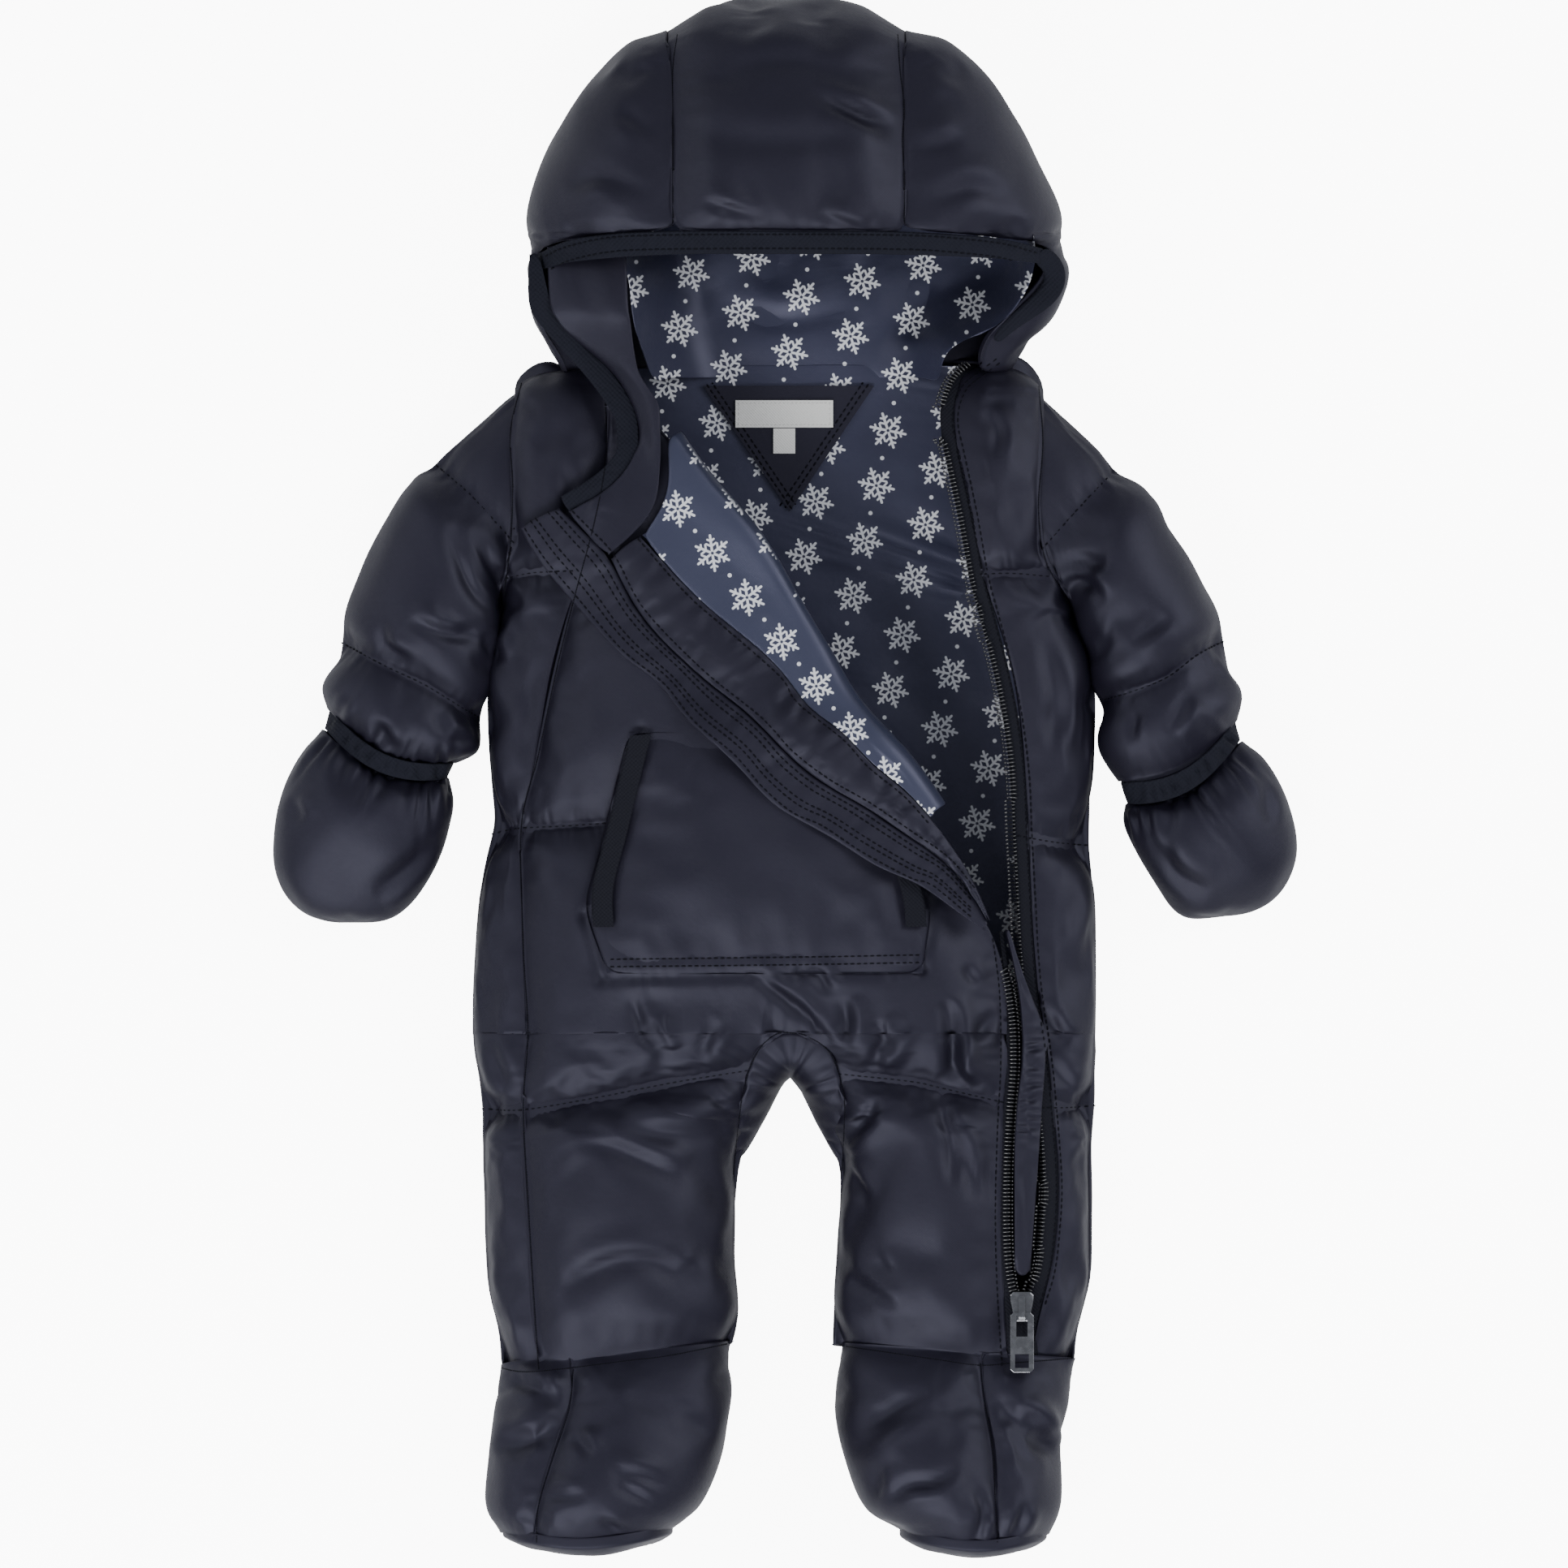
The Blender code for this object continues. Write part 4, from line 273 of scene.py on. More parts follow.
def snowflake_group():
    """Mask of a half-drop repeat of six-armed snowflakes; lengths in millimetres."""
    group, given, made = new_group(
        "snowflake_print",
        [("Vector", "NodeSocketVector", None), ("Repeat", "NodeSocketFloat", PRINT_REPEAT)],
        [("Mask", "NodeSocketFloat")])

    def do(operation, *values):
        return add_math(group, operation, *values)

    place = add_node(group, "ShaderNodeVectorMath", [(0, given["Vector"]), ("Scale", 1 / MM)],
                     operation="SCALE")
    parts = add_node(group, "ShaderNodeSeparateXYZ", [(0, place.outputs[0])]).outputs
    repeat = given["Repeat"]
    column = do("DIVIDE", parts["X"], repeat)
    drop = do("MULTIPLY", do("FLOORED_MODULO", do("FLOOR", column), 2.0), 0.5)
    row = do("ADD", do("DIVIDE", parts["Y"], repeat), drop)
    x, y = (do("MULTIPLY", repeat, do("SUBTRACT", do("FRACT", cell), 0.5))
            for cell in (column, row))
    angle = do("ADD", do("ARCTAN2", y, x), math.pi / 6)
    folded = do("ABSOLUTE", do("SUBTRACT", do("FLOORED_MODULO", angle, math.pi / 3), math.pi / 6))
    radius = length_of(group, x, y)
    u, v = (do("MULTIPLY", radius, do(part, folded)) for part in ("COSINE", "SINE"))
    edge_y = do("SUBTRACT", do("ABSOLUTE", y), do("DIVIDE", repeat, 2.0))
    mask = inside(group, length_of(group, edge_y, x), *DOT_RADIUS)
    for bar in ARM_BARS:
        mask = do("MAXIMUM", mask, bar_mask(group, u, v, *bar))
    group.links.new(mask, made["Mask"])
    return group


SNOW = snowflake_group()
print("the print has", len(SNOW.nodes), "nodes and repeats every", PRINT_REPEAT, "mm")

# %% [markdown]
# ## One function for every cloth
# All the cloths are the same Principled shader with other numbers: how dark the dye is, how much
# its gloss changes, how thick its threads are. A lining adds the print to the dye, turned to the
# grain of its piece. The print stays off the narrow steep edges, which a point attribute marks,
# because a pattern laid on from above would be drawn out into stripes there.

# %% A cloth's material


def cloth(name, dark, light, rough, threads=THREADS, weave_depth=0.03, slub=0.08, specular=0.3,
          print_turn=None, tint=(0.76, 0.77, 1.0)):
    """A woven cloth: clouded colour, changing roughness, and a bump of threads and slubs, whose
    depths are in millimetres; print_turn is the grain's angle in degrees on a printed cloth."""
    made, tree, shader = new_material(name)
    where = add_node(tree, "ShaderNodeTexCoord").outputs["Object"]
    cloud = add_node(tree, "ShaderNodeGroup", node_tree=CLOUD)
    tree.links.new(where, cloud.inputs["Vector"])
    cloud.inputs["Dark"].default_value = (*dark, 1)
    cloud.inputs["Light"].default_value = (*light, 1)
    colour = cloud.outputs["Color"]
    if print_turn is not None:
        turned = add_node(tree, "ShaderNodeMapping", [("Vector", where)])
        turned.inputs["Rotation"].default_value = (0, 0, math.radians(print_turn))
        snow = add_node(tree, "ShaderNodeGroup", [("Vector", turned.outputs[0])], node_tree=SNOW)
        level = add_node(tree, "ShaderNodeAttribute", attribute_name="level_share")
        shown = add_math(tree, "MULTIPLY", snow.outputs["Mask"], level.outputs["Fac"])
        mixed = add_node(tree, "ShaderNodeMix", [(0, shown), (6, colour), (7, PRINT_COLOUR)],
                         data_type="RGBA")
        colour = mixed.outputs[2]
    tree.links.new(colour, shader.inputs["Base Color"])
    gloss = add_node(tree, "ShaderNodeMapRange", [
        ("Value", cloud.outputs["Rub"]), ("To Min", rough - 0.04), ("To Max", rough + 0.05)])
    tree.links.new(gloss.outputs[0], shader.inputs["Roughness"])
    weave = add_node(tree, "ShaderNodeGroup", node_tree=WEAVE)
    tree.links.new(where, weave.inputs["Vector"])
    weave.inputs["Threads per metre"].default_value = threads
    bump = add_node(tree, "ShaderNodeBump", [
        ("Height", weave.outputs["Height"]), ("Distance", weave_depth * MM)])
    slubs = add_node(tree, "ShaderNodeBump", [
        ("Height", cloud.outputs["Slub"]), ("Distance", slub * MM),
        ("Normal", bump.outputs["Normal"])])
    tree.links.new(slubs.outputs["Normal"], shader.inputs["Normal"])
    shader.inputs["Specular IOR Level"].default_value = specular
    shader.inputs["Specular Tint"].default_value = (*tint, 1)
    return made


# %% [markdown]
# ## The suit's cloths
# The shell is a nearly black satin with a blue gloss. The linings are a little lighter and more
# glossy, the bindings are a matt knit of thick threads, the tapes a plain coarse weave, and the
# coil of the zip is bare nylon: no weave, only gloss.

# %% The suit's cloths
SHELL = cloth("satin_shell", (0.0056, 0.0050, 0.0100), (0.0078, 0.0070, 0.0135), 0.48,
              specular=0.34)
LINING = cloth("printed_lining", (0.0180, 0.0195, 0.0390), (0.0250, 0.0270, 0.0520), 0.38,
               specular=0.5, print_turn=12)
# The flap's lining is the same printed cloth as the body's, painted lighter because the folded-out
# flap lies in the light; only the turn of its grain is its own.
FLAP_LINING_PAINTED_LIGHTER = cloth("printed_lining_painted_lighter_on_flap", (0.0230, 0.0260, 0.0480), (0.0310, 0.0350, 0.0620),
                    0.38, specular=0.5, print_turn=-38)
KNIT = cloth("knitted_elastic", (0.0035, 0.0040, 0.0065), (0.0110, 0.0120, 0.0180), 0.85,
             threads=900.0, weave_depth=0.12, slub=0.45, specular=0.2)
TAPE = cloth("woven_tape", (0.0030, 0.0032, 0.0048), (0.0060, 0.0064, 0.0090), 0.75,
             threads=1100.0, weave_depth=0.10, slub=0.25, specular=0.2)
LABEL = cloth("label_weave", (0.60, 0.60, 0.58), (0.72, 0.72, 0.70), 0.75, threads=1500.0,
              weave_depth=0.06, slub=0.15)
# Painted shade: the thread is made near black, darker than the shell, so the stitches show partly
# their thread and partly the painted shade of their grooves, and the seams' beads in it are painted
# shade alone.
THREAD_AND_GROOVE_SHADE = cloth("thread_painted_dark_as_groove_shade", (0.0012, 0.0013, 0.0022), (0.0030, 0.0032, 0.0050), 0.7,
               specular=0.15)
PALE_THREAD = cloth("label_thread", (0.50, 0.50, 0.48), (0.62, 0.62, 0.60), 0.6)
COIL = cloth("zip_coil", (0.0100, 0.0102, 0.0120), (0.0260, 0.0262, 0.0300), 0.26, slub=0.02,
             weave_depth=0.0, specular=1.0, tint=(1.0, 1.0, 1.0))
print(len(bpy.data.materials), "materials")

# %% [markdown]
# ## Stitch lines and seams
# Everything that a padded suit shows starts at its sewing: the quilting lines press the wadding
# flat, and every seam gathers the cloth a little. The lines are kept as short lists of points in
# plan, in millimetres. They are listed one by one, because no rule gives a pattern cutter's lines.

# %% Lines of the suit in plan
MIDDLE = (0.573, 0.697)      # the middle of the suit's outline, in the lines' own millimetres
SIDE_SEAM = [(-82, 176), (-82, 150), (-87, 122), (-96, 88), (-104, 56), (-113, 14), (-121, -20),
             (-120, -76), (-118, -115), (-120, -150), (-118, -190), (-115, -240), (-113, -270)]
ARMHOLE_RIGHT = [(-121, 185), (-126, 163), (-125, 137), (-126, 111), (-129, 88)]
ARMHOLE_LEFT = [(118, 185), (120, 158), (118, 128), (121, 104), (131, 86)]
GUSSET = [(-23, -180), (-21, -160), (-18, -140), (-12, -124), (-4, -116), (4, -115), (12, -117),
          (22, -125), (28, -144), (28, -162), (27, -181)]
ANKLE_RIGHT = [(-134, -269), (-116, -271.5), (-72, -266.5), (-52, -264), (-20, -257.5)]
ANKLE_LEFT = [(23, -259), (68, -265.5), (90, -268.5), (107, -267.5), (138, -265)]
BOOT_RIGHT = [(-97, -271), (-99, -289), (-106, -310), (-113, -333), (-114, -350)]
BOOT_LEFT = [(91, -268), (93, -285), (97, -309), (98, -332), (99, -350)]
HOOD_RIGHT = [(-49, 346), (-51, 330), (-51, 300), (-51, 280), (-51, 262), (-51, 256)]
HOOD_LEFT = [(53, 346), (54, 330), (56, 312), (55, 298), (56, 280), (56, 256)]
BRIM_UPPER = [(-110, 245.5), (-101, 249.5), (-83, 253.5), (-60, 255), (0, 255.4), (56, 255),
              (80, 253.6), (102, 251), (117, 247)]
GUARD_EDGE = [(-122, 118), (-111, 101), (-94, 81), (-75, 60), (-56, 45), (-42, 27), (-24, 12),
              (-11, -3), (3, -15), (17, -21), (35, -33), (58, -45), (68, -48), (86, -62)]
GUARD_SEAM = [(-103, 128), (-92, 117), (-80, 104), (-66, 79), (-39, 51), (-12, 29), (3, 13),
              (20, 0), (39, -11), (58, -24), (75, -36), (86, -49)]
LINING_SEAM = [(-66, 115), (-43, 89), (-26, 74), (0, 51), (8, 39), (29, 22), (41, 9), (57, -4),
               (68, -16)]
ZIP_LEFT = [(94, 201), (86, 195), (78, 188), (73, 177), (72, 165), (75, 151), (81, 123), (86, 95),
            (91, 76), (97, 53), (102, 28), (105, 3), (106, -20), (107, -39), (108, -58),
            (109, -77), (111, -99), (115, -125), (118, -155), (120, -185), (119, -206),
            (117, -223), (113, -237)]
ZIP_RIGHT = [(99, -75), (103, -86), (105, -95), (107, -110), (107.5, -130), (106, -150),
             (104.5, -181), (104.5, -211), (106, -228), (108, -237)]
FRONT_ZIP_EDGE = [(99, -72), (102, -97), (102.5, -130), (101, -160), (100, -200), (101, -236),
                  (103, -268)]
CUFF_RIGHT = [(-217, 26), (-203, 18), (-186, 8), (-170, 2), (-151, 0)]
CUFF_LEFT = [(216, 21), (203, 8), (187, -3), (172, -9), (155, -12)]
WRIST_RIGHT = [(-214, 37), (-200, 26), (-184, 15), (-166, 8), (-147, 9)]
WRIST_LEFT = [(213, 32), (199, 17), (184, 6), (168, 0), (151, 0)]
QUILTS = dict(
    chest_right=[(-128, 95), (-116, 97.5), (-98, 98.5)],
    chest_left=[(92, 97), (106, 97.3), (122, 96)],
    waist_right=[(-134, -23), (-122, -20.5), (-102, -19.5), (-80, -18)],
    waist_left=[(109, -24), (126, -27), (143, -28.5)],
    thigh_right=[(-140, -150), (-120, -150.5), (-84, -144.5), (-51, -138), (-17, -132.5)],
    thigh_left=[(26, -134), (59, -137.5), (73, -140.5), (101, -147)],
    thigh_zip=[(120, -149.5), (132, -149.5), (145, -148.5)],
    upper_arm_right=[(-166, 152), (-146, 135), (-132, 120), (-125, 112)],
    elbow_right=[(-209, 68), (-185, 55), (-166, 46), (-148, 35), (-136, 28)],
    upper_arm_left=[(160, 152), (138, 129), (120, 109)],
    elbow_left=[(210, 69), (192, 60), (177, 49), (159, 42), (141, 37)])
print(len(QUILTS), "quilting lines")

# %% [markdown]
# ## Smooth lines and what lies near them
# A stitched line bends without corners, so a smooth curve is drawn through each list of points.
# Puckers, grooves and creases all ask the same question of such a line: how far along it, how far
# from it and on which side is this bit of cloth? One function answers it for all points at once.

# %% Smooth lines and distances to them
LINE_STEP = 1.5              # mm


def smooth_line(points, step=LINE_STEP):
    """Points a step apart on a smooth curve through the given ones, in the same millimetres."""
    points = np.asarray(points, float)
    ends = (2 * points[:1] - points[1:2], 2 * points[-1:] - points[-2:-1])
    wide = np.concatenate([ends[0], points, ends[1]])
    curve = []
    for a, b, c, d in zip(wide[:-3], wide[1:-2], wide[2:-1], wide[3:]):
        count = max(2, round(np.linalg.norm(c - b) / step))
        t = np.linspace(0, 1, count, endpoint=False)[:, None]
        curve.append(0.5 * (2 * b + (c - a) * t + (2 * a - 5 * b + 4 * c - d) * t**2
                            + (3 * b - a - 3 * c + d) * t**3))
    curve.append(points[-1:])
    return np.concatenate(curve)


def nearest_on(line, places):
    """For each place in plan: how far along the line its nearest point is, how far away, and on
    which side."""
    along = np.zeros(len(places))
    away = np.full(len(places), 1e9)
    side = np.ones(len(places))
    start_length = 0.0
    for start, end in zip(line[:-1], line[1:]):
        run = end - start
        length = np.linalg.norm(run)
        t = np.clip((places - start) @ run / length**2, 0, 1)
        offset = places - (start + t[:, None] * run)
        gap = np.linalg.norm(offset, axis=1)
        closer = gap < away
        away = np.where(closer, gap, away)
        along = np.where(closer, start_length + t * length, along)
        turned = np.sign(run[0] * offset[:, 1] - run[1] * offset[:, 0])
        side = np.where(closer, turned, side)
        start_length += length
    return along, away, side


QUILT_LINES = {name: smooth_line(points) for name, points in QUILTS.items()}
print(len(QUILT_LINES), "quilting lines,",
      round(sum(len(line) for line in QUILT_LINES.values()) * LINE_STEP), "mm in all")

# %% [markdown]
# ## Points in and points out
# Python is slow point by point, so a mesh's points are read into one array, changed there and
# written back in one go. Millimetres are used in between, as on a pattern.

# %% Read, write, subdivide


def read_points(mesh):
    """A mesh's points and the directions square to its surface, in millimetres."""
    points = np.empty(len(mesh.vertices) * 3)
    mesh.vertices.foreach_get("co", points)
    out = np.empty(len(mesh.vertices) * 3)
    mesh.vertices.foreach_get("normal", out)
    return points.reshape(-1, 3) / MM, out.reshape(-1, 3)


def write_points(mesh, points):
    mesh.vertices.foreach_set("co", (points * MM).ravel())
    mesh.update()


def group_weights(piece, name):
    index = piece.vertex_groups[name].index
    weights = np.zeros(len(piece.data.vertices))
    for vertex in piece.data.vertices:
        for entry in vertex.groups:
            if entry.group == index:
                weights[vertex.index] = entry.weight
    return weights


def apply_modifiers(piece):
    """Turn what the modifiers show into the piece's own mesh."""
    graph = bpy.context.evaluated_depsgraph_get()
    mesh = bpy.data.meshes.new_from_object(piece.evaluated_get(graph), depsgraph=graph)
    old = piece.data
    piece.modifiers.clear()
    piece.data = mesh
    bpy.data.meshes.remove(old)
    mesh.name = piece.name


def subdivide(piece, levels):
    if levels:
        rounded = piece.modifiers.new("rounded", "SUBSURF")
        rounded.levels = rounded.render_levels = levels
        apply_modifiers(piece)


# %% [markdown]
# ## From a solid to a skin of quads
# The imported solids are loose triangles. A copy is merged and its triangle pairs are joined, which
# gives back the rings and rows that the piece was drawn with. Its rims get a crease, so that
# Catmull-Clark subdivision rounds the cloth but keeps the seams where they are.

# %% Find and mark the rims
RIM_ANGLE = math.radians(50)
RIM_WIDTH = 8.2              # mm, the thickest wall end
CORNER_TURN = math.radians(62)
WAIST_LEVEL = -115.2         # mm in plan, where one cloth runs on from torso to leg solids


def rim_edges(skin):
    """The long edges of the narrow faces that close a wall at its rims."""
    found = set()
    for face in skin.faces:
        edges = list(face.edges)
        if len(edges) != 4:
            continue
        for first, second in ((0, 1), (1, 0)):
            pair = (edges[first], edges[first + 2])
            width = max(edges[second].calc_length(), edges[(second + 2) % 4].calc_length())
            if width < RIM_WIDTH * MM and all(
                    len(edge.link_faces) == 2 and edge.calc_face_angle() > RIM_ANGLE
                    for edge in pair):
                found.update(pair)
    return found


def is_level(vertex):
    return abs(vertex.co.y / MM + MIDDLE[1] - WAIST_LEVEL) < 0.5


def mark_rims(rims, crease, creases, weights):
    """Crease the rims, put them in group 0, and the cut at the waist level in group 1."""
    for edge in rims:
        level = all(is_level(vertex) for vertex in edge.verts)
        edge[creases] = 1.0 if level else crease
        for vertex in edge.verts:
            if not level:
                vertex[weights][0] = 1.0
            if is_level(vertex):
                vertex[weights][1] = 1.0


def mark_corners(skin, rims, corners):
    """Keep a point sharp where the rim turns a corner or several rims meet."""
    for vertex in skin.verts:
        ends = [edge for edge in vertex.link_edges if edge in rims]
        if len(ends) == 2:
            first, second = (edge.other_vert(vertex).co - vertex.co for edge in ends)
            if math.pi - first.angle(second, math.pi) > CORNER_TURN:
                vertex[corners] = 1.0
        elif len(ends) > 2:
            vertex[corners] = 1.0


# %% [markdown]
# ## Letting out the rims
# A tailor cuts every panel a little larger than it shows, because the seam eats some of it. Here
# each rim is let out by a seam allowance to meet its neighbour. Where one piece tucks under
# another its rim is moved further, and the body's flanks bulge out to touch the sleeves.

# %% Let out and ease the rims
SEAM_ALLOWANCE = 0.8         # mm, laps each seam over the gap that the solids keep there
EASES = [                    # nodes, line (x sign, y sign, mm), move; middle and scale if any
    ("hood_lining", (0, -1, -199), (0, -6, -1.5)),
    ("hood_lining", (1, 0, 80), (13, 0, 3)),
    ("body_lining", (0, 1, 187), (0, 2.5, 0.5)),
    ("back_body", (0, 1, 192), (0, 2.5, 0)),
    ("hood_centre", (0, -1, -196.5), (0, -3, 0)),
    ("hood_side_right", (0, -1, -196.5), (0, -3.5, 0.5)),
    ("hood_side_left", (0, -1, -197), (0, -3.5, 0.5)),
    ("hood_facing", (0, 1, 231), (1, 15, -4)),
    ("cheek_binding", (0, 1, 234), (1.5, 9, -1)),
    ("sleeve_right", (1, 0, -129), (2.4, 0.4, 0)),
    ("sleeve_left", (-1, 0, -123), (-2.4, 0.4, 0)),
    ("cuff_binding_right", (0, 1, -99), (0, 0, 0), (-182, 16, 19.6), (0.955, 1, 0.93)),
    ("cuff_binding_left", (0, 1, -99), (0, 0, 0), (183.5, 8, 19.6), (0.955, 1, 0.93)),
    ("crotch_gusset", (0, -1, 147), (0, -19, -3), (3, -153, 24), (2.0, 1, 0.55)),
    ("front_leg_right side_front_leg_right back_leg_right", (0, -1, 250), (0, 0, 0), (-80, 0, 0),
     (0.94, 1, 1)),
    ("front_left_leg back_leg_left", (0, -1, 250), (0, 0, 0), (24, 0, 0), (0.968, 1, 1)),
    ("boot_right_outer", (0, 1, -271.6), (0, 1.6, 0), (-79, 0, 20), (1.06, 1, 1)),
    ("boot_right_inner", (0, 1, -270.5), (0, 1.6, 0), (-79, 0, 20), (1.06, 1, 1)),
    ("boot_left_outer", (0, 1, -270.5), (0, 1.6, 0), (77, 0, 20), (1.07, 1, 1)),
    ("boot_left_inner", (0, 1, -271.5), (0, 1.6, 0), (77, 0, 20), (1.07, 1, 1)),
    ("front_leg_left", (0, -1, 250), (0, 0, 0), (140, 0, 0), (0.985, 1, 1)),
    ("sole_right", (0, -1, 0), (0, 3.2, 0), (-91, -350, 31), (0.94, 1, 1)),
    ("sole_left", (0, -1, 0), (0, 3.2, 0), (88, -350, 31), (0.94, 1, 1)),
    ("zip_guard_lower", (0, -1, 176), (-1.8, -48, -3), (113.2, -178, 50), (0.72, 1, 0.6))]
BULGES = [                   # node, place, reach and move in mm, on flanks and zip guard
    ("side_front_right", (-130, 60), 34, -4.5), ("back_body", (-130, 60), 34, -4.5),
    ("front_left", (130, 58), 34, 4.5), ("back_body", (130, 58), 34, 4.5),
    ("zip_guard_lower", (110, -160), 40, -1.8)]


def let_out(skin, rims, allowance):
    """Move the rims square to the faces that close the wall there."""
    moves = {}
    for face in skin.faces:
        if sum(edge in rims for edge in face.edges) >= 2:
            for vertex in face.verts:
                moves.setdefault(vertex, Vector())
                moves[vertex] += face.normal
    for vertex, move in moves.items():
        if move.length > 0.1 and vertex.co.z > 0.5 * MM:
            vertex.co += move.normalized() * allowance * MM


def in_plan(vertex):
    return vertex.co.x / MM + MIDDLE[0], vertex.co.y / MM + MIDDLE[1]


def bulge(skin, at, reach, by):
    """Move the points round a place sideways, less and less with their distance from it."""
    for vertex in skin.verts:
        x, y = in_plan(vertex)
        gap = math.hypot(x - at[0], y - at[1])
        vertex.co.x += by * MM * math.exp(-(gap / reach)**2)


def ease(skin, beyond, move, about=(0, 0, 0), scale=(1, 1, 1)):
    """Scale and move the points beyond a line in plan."""
    sign_x, sign_y, limit = beyond
    about = (Vector(about) - Vector((*MIDDLE, 0))) * MM
    for vertex in skin.verts:
        x, y = in_plan(vertex)
        if sign_x * x + sign_y * y > limit:
            spread = Vector([part * by for part, by in zip(vertex.co - about, scale)])
            vertex.co = about + spread + Vector(move) * MM


# %% [markdown]
# ## A rounded copy of a node
# The steps are put together: merge, mark, let out, ease. Subdivision would shrink the skin inside
# its corner points, so the coarse points are first moved out until the rounded shape passes
# through the places where they were. That way the piece keeps its solid's size.

# %% Copy a node as a smooth quad mesh
TIGHTEN_ROUNDS = 3
TIGHTEN_REACH = 4.0          # mm that a point may be moved out
TIGHTEN_SHARE = 0.9          # of what is missing, in each round


def merged_copy(node, crease, allowance):
    """A new piece from a node: one skin of quads with creased rims in the group "rim"."""
    skin = bmesh.new()
    skin.from_mesh(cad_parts[node].data)
    bmesh.ops.remove_doubles(skin, verts=skin.verts, dist=0.01 * MM)
    bmesh.ops.join_triangles(skin, faces=skin.faces, angle_face_threshold=math.pi,
                             angle_shape_threshold=math.pi)
    bmesh.ops.recalc_face_normals(skin, faces=skin.faces)
    creases = skin.edges.layers.float.new("crease_edge")
    corners = skin.verts.layers.float.new("crease_vert")
    weights = skin.verts.layers.deform.verify()
    rims = rim_edges(skin)
    mark_rims(rims, crease, creases, weights)
    mark_corners(skin, rims, corners)
    let_out(skin, rims, allowance)
    for name, *row in BULGES:
        if name == node:
            bulge(skin, *row)
    for names, *row in EASES:
        if node in names.split():
            ease(skin, *row)
    mesh = bpy.data.meshes.new("cloth_" + node)
    skin.to_mesh(mesh)
    skin.free()
    mesh.materials.clear()
    piece = add_object("cloth_" + node, mesh)
    piece.vertex_groups.new(name="rim")
    piece.vertex_groups.new(name="level")
    return piece


def tighten(piece):
    """Move a coarse skin's points out until its rounded shape passes through where they were."""
    mesh = piece.data
    goal, _ = read_points(mesh)
    points = goal.copy()
    for _ in range(TIGHTEN_ROUNDS):
        trial = piece.copy()
        trial.data = mesh.copy()
        bpy.context.collection.objects.link(trial)
        subdivide(trial, 2)
        rounded, _ = read_points(trial.data)
        spare = trial.data
        bpy.data.objects.remove(trial)
        bpy.data.meshes.remove(spare)
        points += TIGHTEN_SHARE * (goal - rounded[:len(goal)])
        points = goal + np.clip(points - goal, -TIGHTEN_REACH, TIGHTEN_REACH)
        write_points(mesh, points)


def rounded_copy(node, levels, crease=1.0, allowance=SEAM_ALLOWANCE):
    piece = merged_copy(node, crease, allowance)
    tighten(piece)
    subdivide(piece, levels)
    return piece


# %% [markdown]
# ## Which side shows
# Each padded wall has an outer face, an inner face towards the hollow that the baby fills, and an
# underside that the floor presses flat. A straight line down the middle of each hollow tells them
# apart: cloth that looks away from that line is the outside.

# %% Hollows of the suit
HOLLOWS = dict(
    body=((2, 200, 26), (2, -115, 26)), hood=((2, 195, 34), (2, 345, 34)),
    leg_right=((-20, -112, 26), (-77, -268, 26)), leg_left=((28, -112, 26), (81, -268, 26)),
    boot_right=((-77, -262, 28), (-90, -345, 34)), boot_left=((81, -262, 28), (90, -345, 34)),
    sleeve_right=((-118, 142, 28), (-181, 22, 22)), sleeve_left=((112, 142, 28), (182, 16, 22)),
    mitten_right=((-184, 13, 20), (-200, -56, 17)), mitten_left=((185, 5, 20), (204, -52, 17)))
FLOOR_CONTACT = 5.0          # mm above the floor, up to which cloth is pressed flat
FACES_OUT = 0.2              # how far up a wall without a hollow has to face


def plan_of(points):
    return points[:, :2] + MIDDLE


def from_hollow(points, hollow):
    """Directions away from the middle line of a hollow, or up where there is no hollow."""
    if hollow is None:
        return np.tile((0.0, 0.0, 1.0), (len(points), 1))
    start, end = (np.array(place, float) - (*MIDDLE, 0) for place in HOLLOWS[hollow])
    run = end - start
    t = np.clip((points - start) @ run / (run @ run), 0, 1)
    away = points - (start + t[:, None] * run)
    return away / np.maximum(np.linalg.norm(away, axis=1, keepdims=True), 1e-6)


def outside_of(points, out, hollow):
    """True where the cloth faces away from its hollow."""
    return (from_hollow(points, hollow) * out).sum(axis=1) > (FACES_OUT if hollow is None else 0)


# %% [markdown]
# ## Quilting before the air goes in
# A stitch through a padded wall pulls its face down to the lining. Points of the coarse skin that
# are near a quilting line are slid onto it, so that the groove runs cleanly through the mesh, and
# are then sunk. They are pinned in the simulation that follows.

# %% Sink the quilting lines
QUILT_DEPTH = 4.0            # mm
QUILT_WIDTH = 6.0            # mm from a line at which the face is up again
POINT_SPACING = 2.4          # mm between a padded skin's points
PIECE_REACH = 60             # mm, past which a line's middle can't touch a piece


def sink_quilting(points, out, outside):
    """Slide and sink the face at the quilting lines; returns how firmly each point is held."""
    plan = plan_of(points)
    held = np.zeros(len(points))
    for line in QUILT_LINES.values():
        if np.min(np.abs(plan - line[len(line) // 2]).max(axis=1)) > PIECE_REACH:
            continue
        _, away, _ = nearest_on(line, plan)
        near = (away < POINT_SPACING) & outside & (out[:, 2] > 0.15)
        for index in np.nonzero(near)[0]:
            nearest = line[np.argmin(((line - plan[index])**2).sum(axis=1))]
            points[index, :2] += nearest - plan[index]
        away = np.where(near, 0.0, away)
        shape = np.exp(-(away / QUILT_WIDTH)**1.5) * outside * np.clip(out[:, 2] * 3, 0, 1)
        points -= out * (QUILT_DEPTH * shape)[:, None]
        held = np.maximum(held, np.clip(1.15 * shape, 0, 1)**2)
    return held


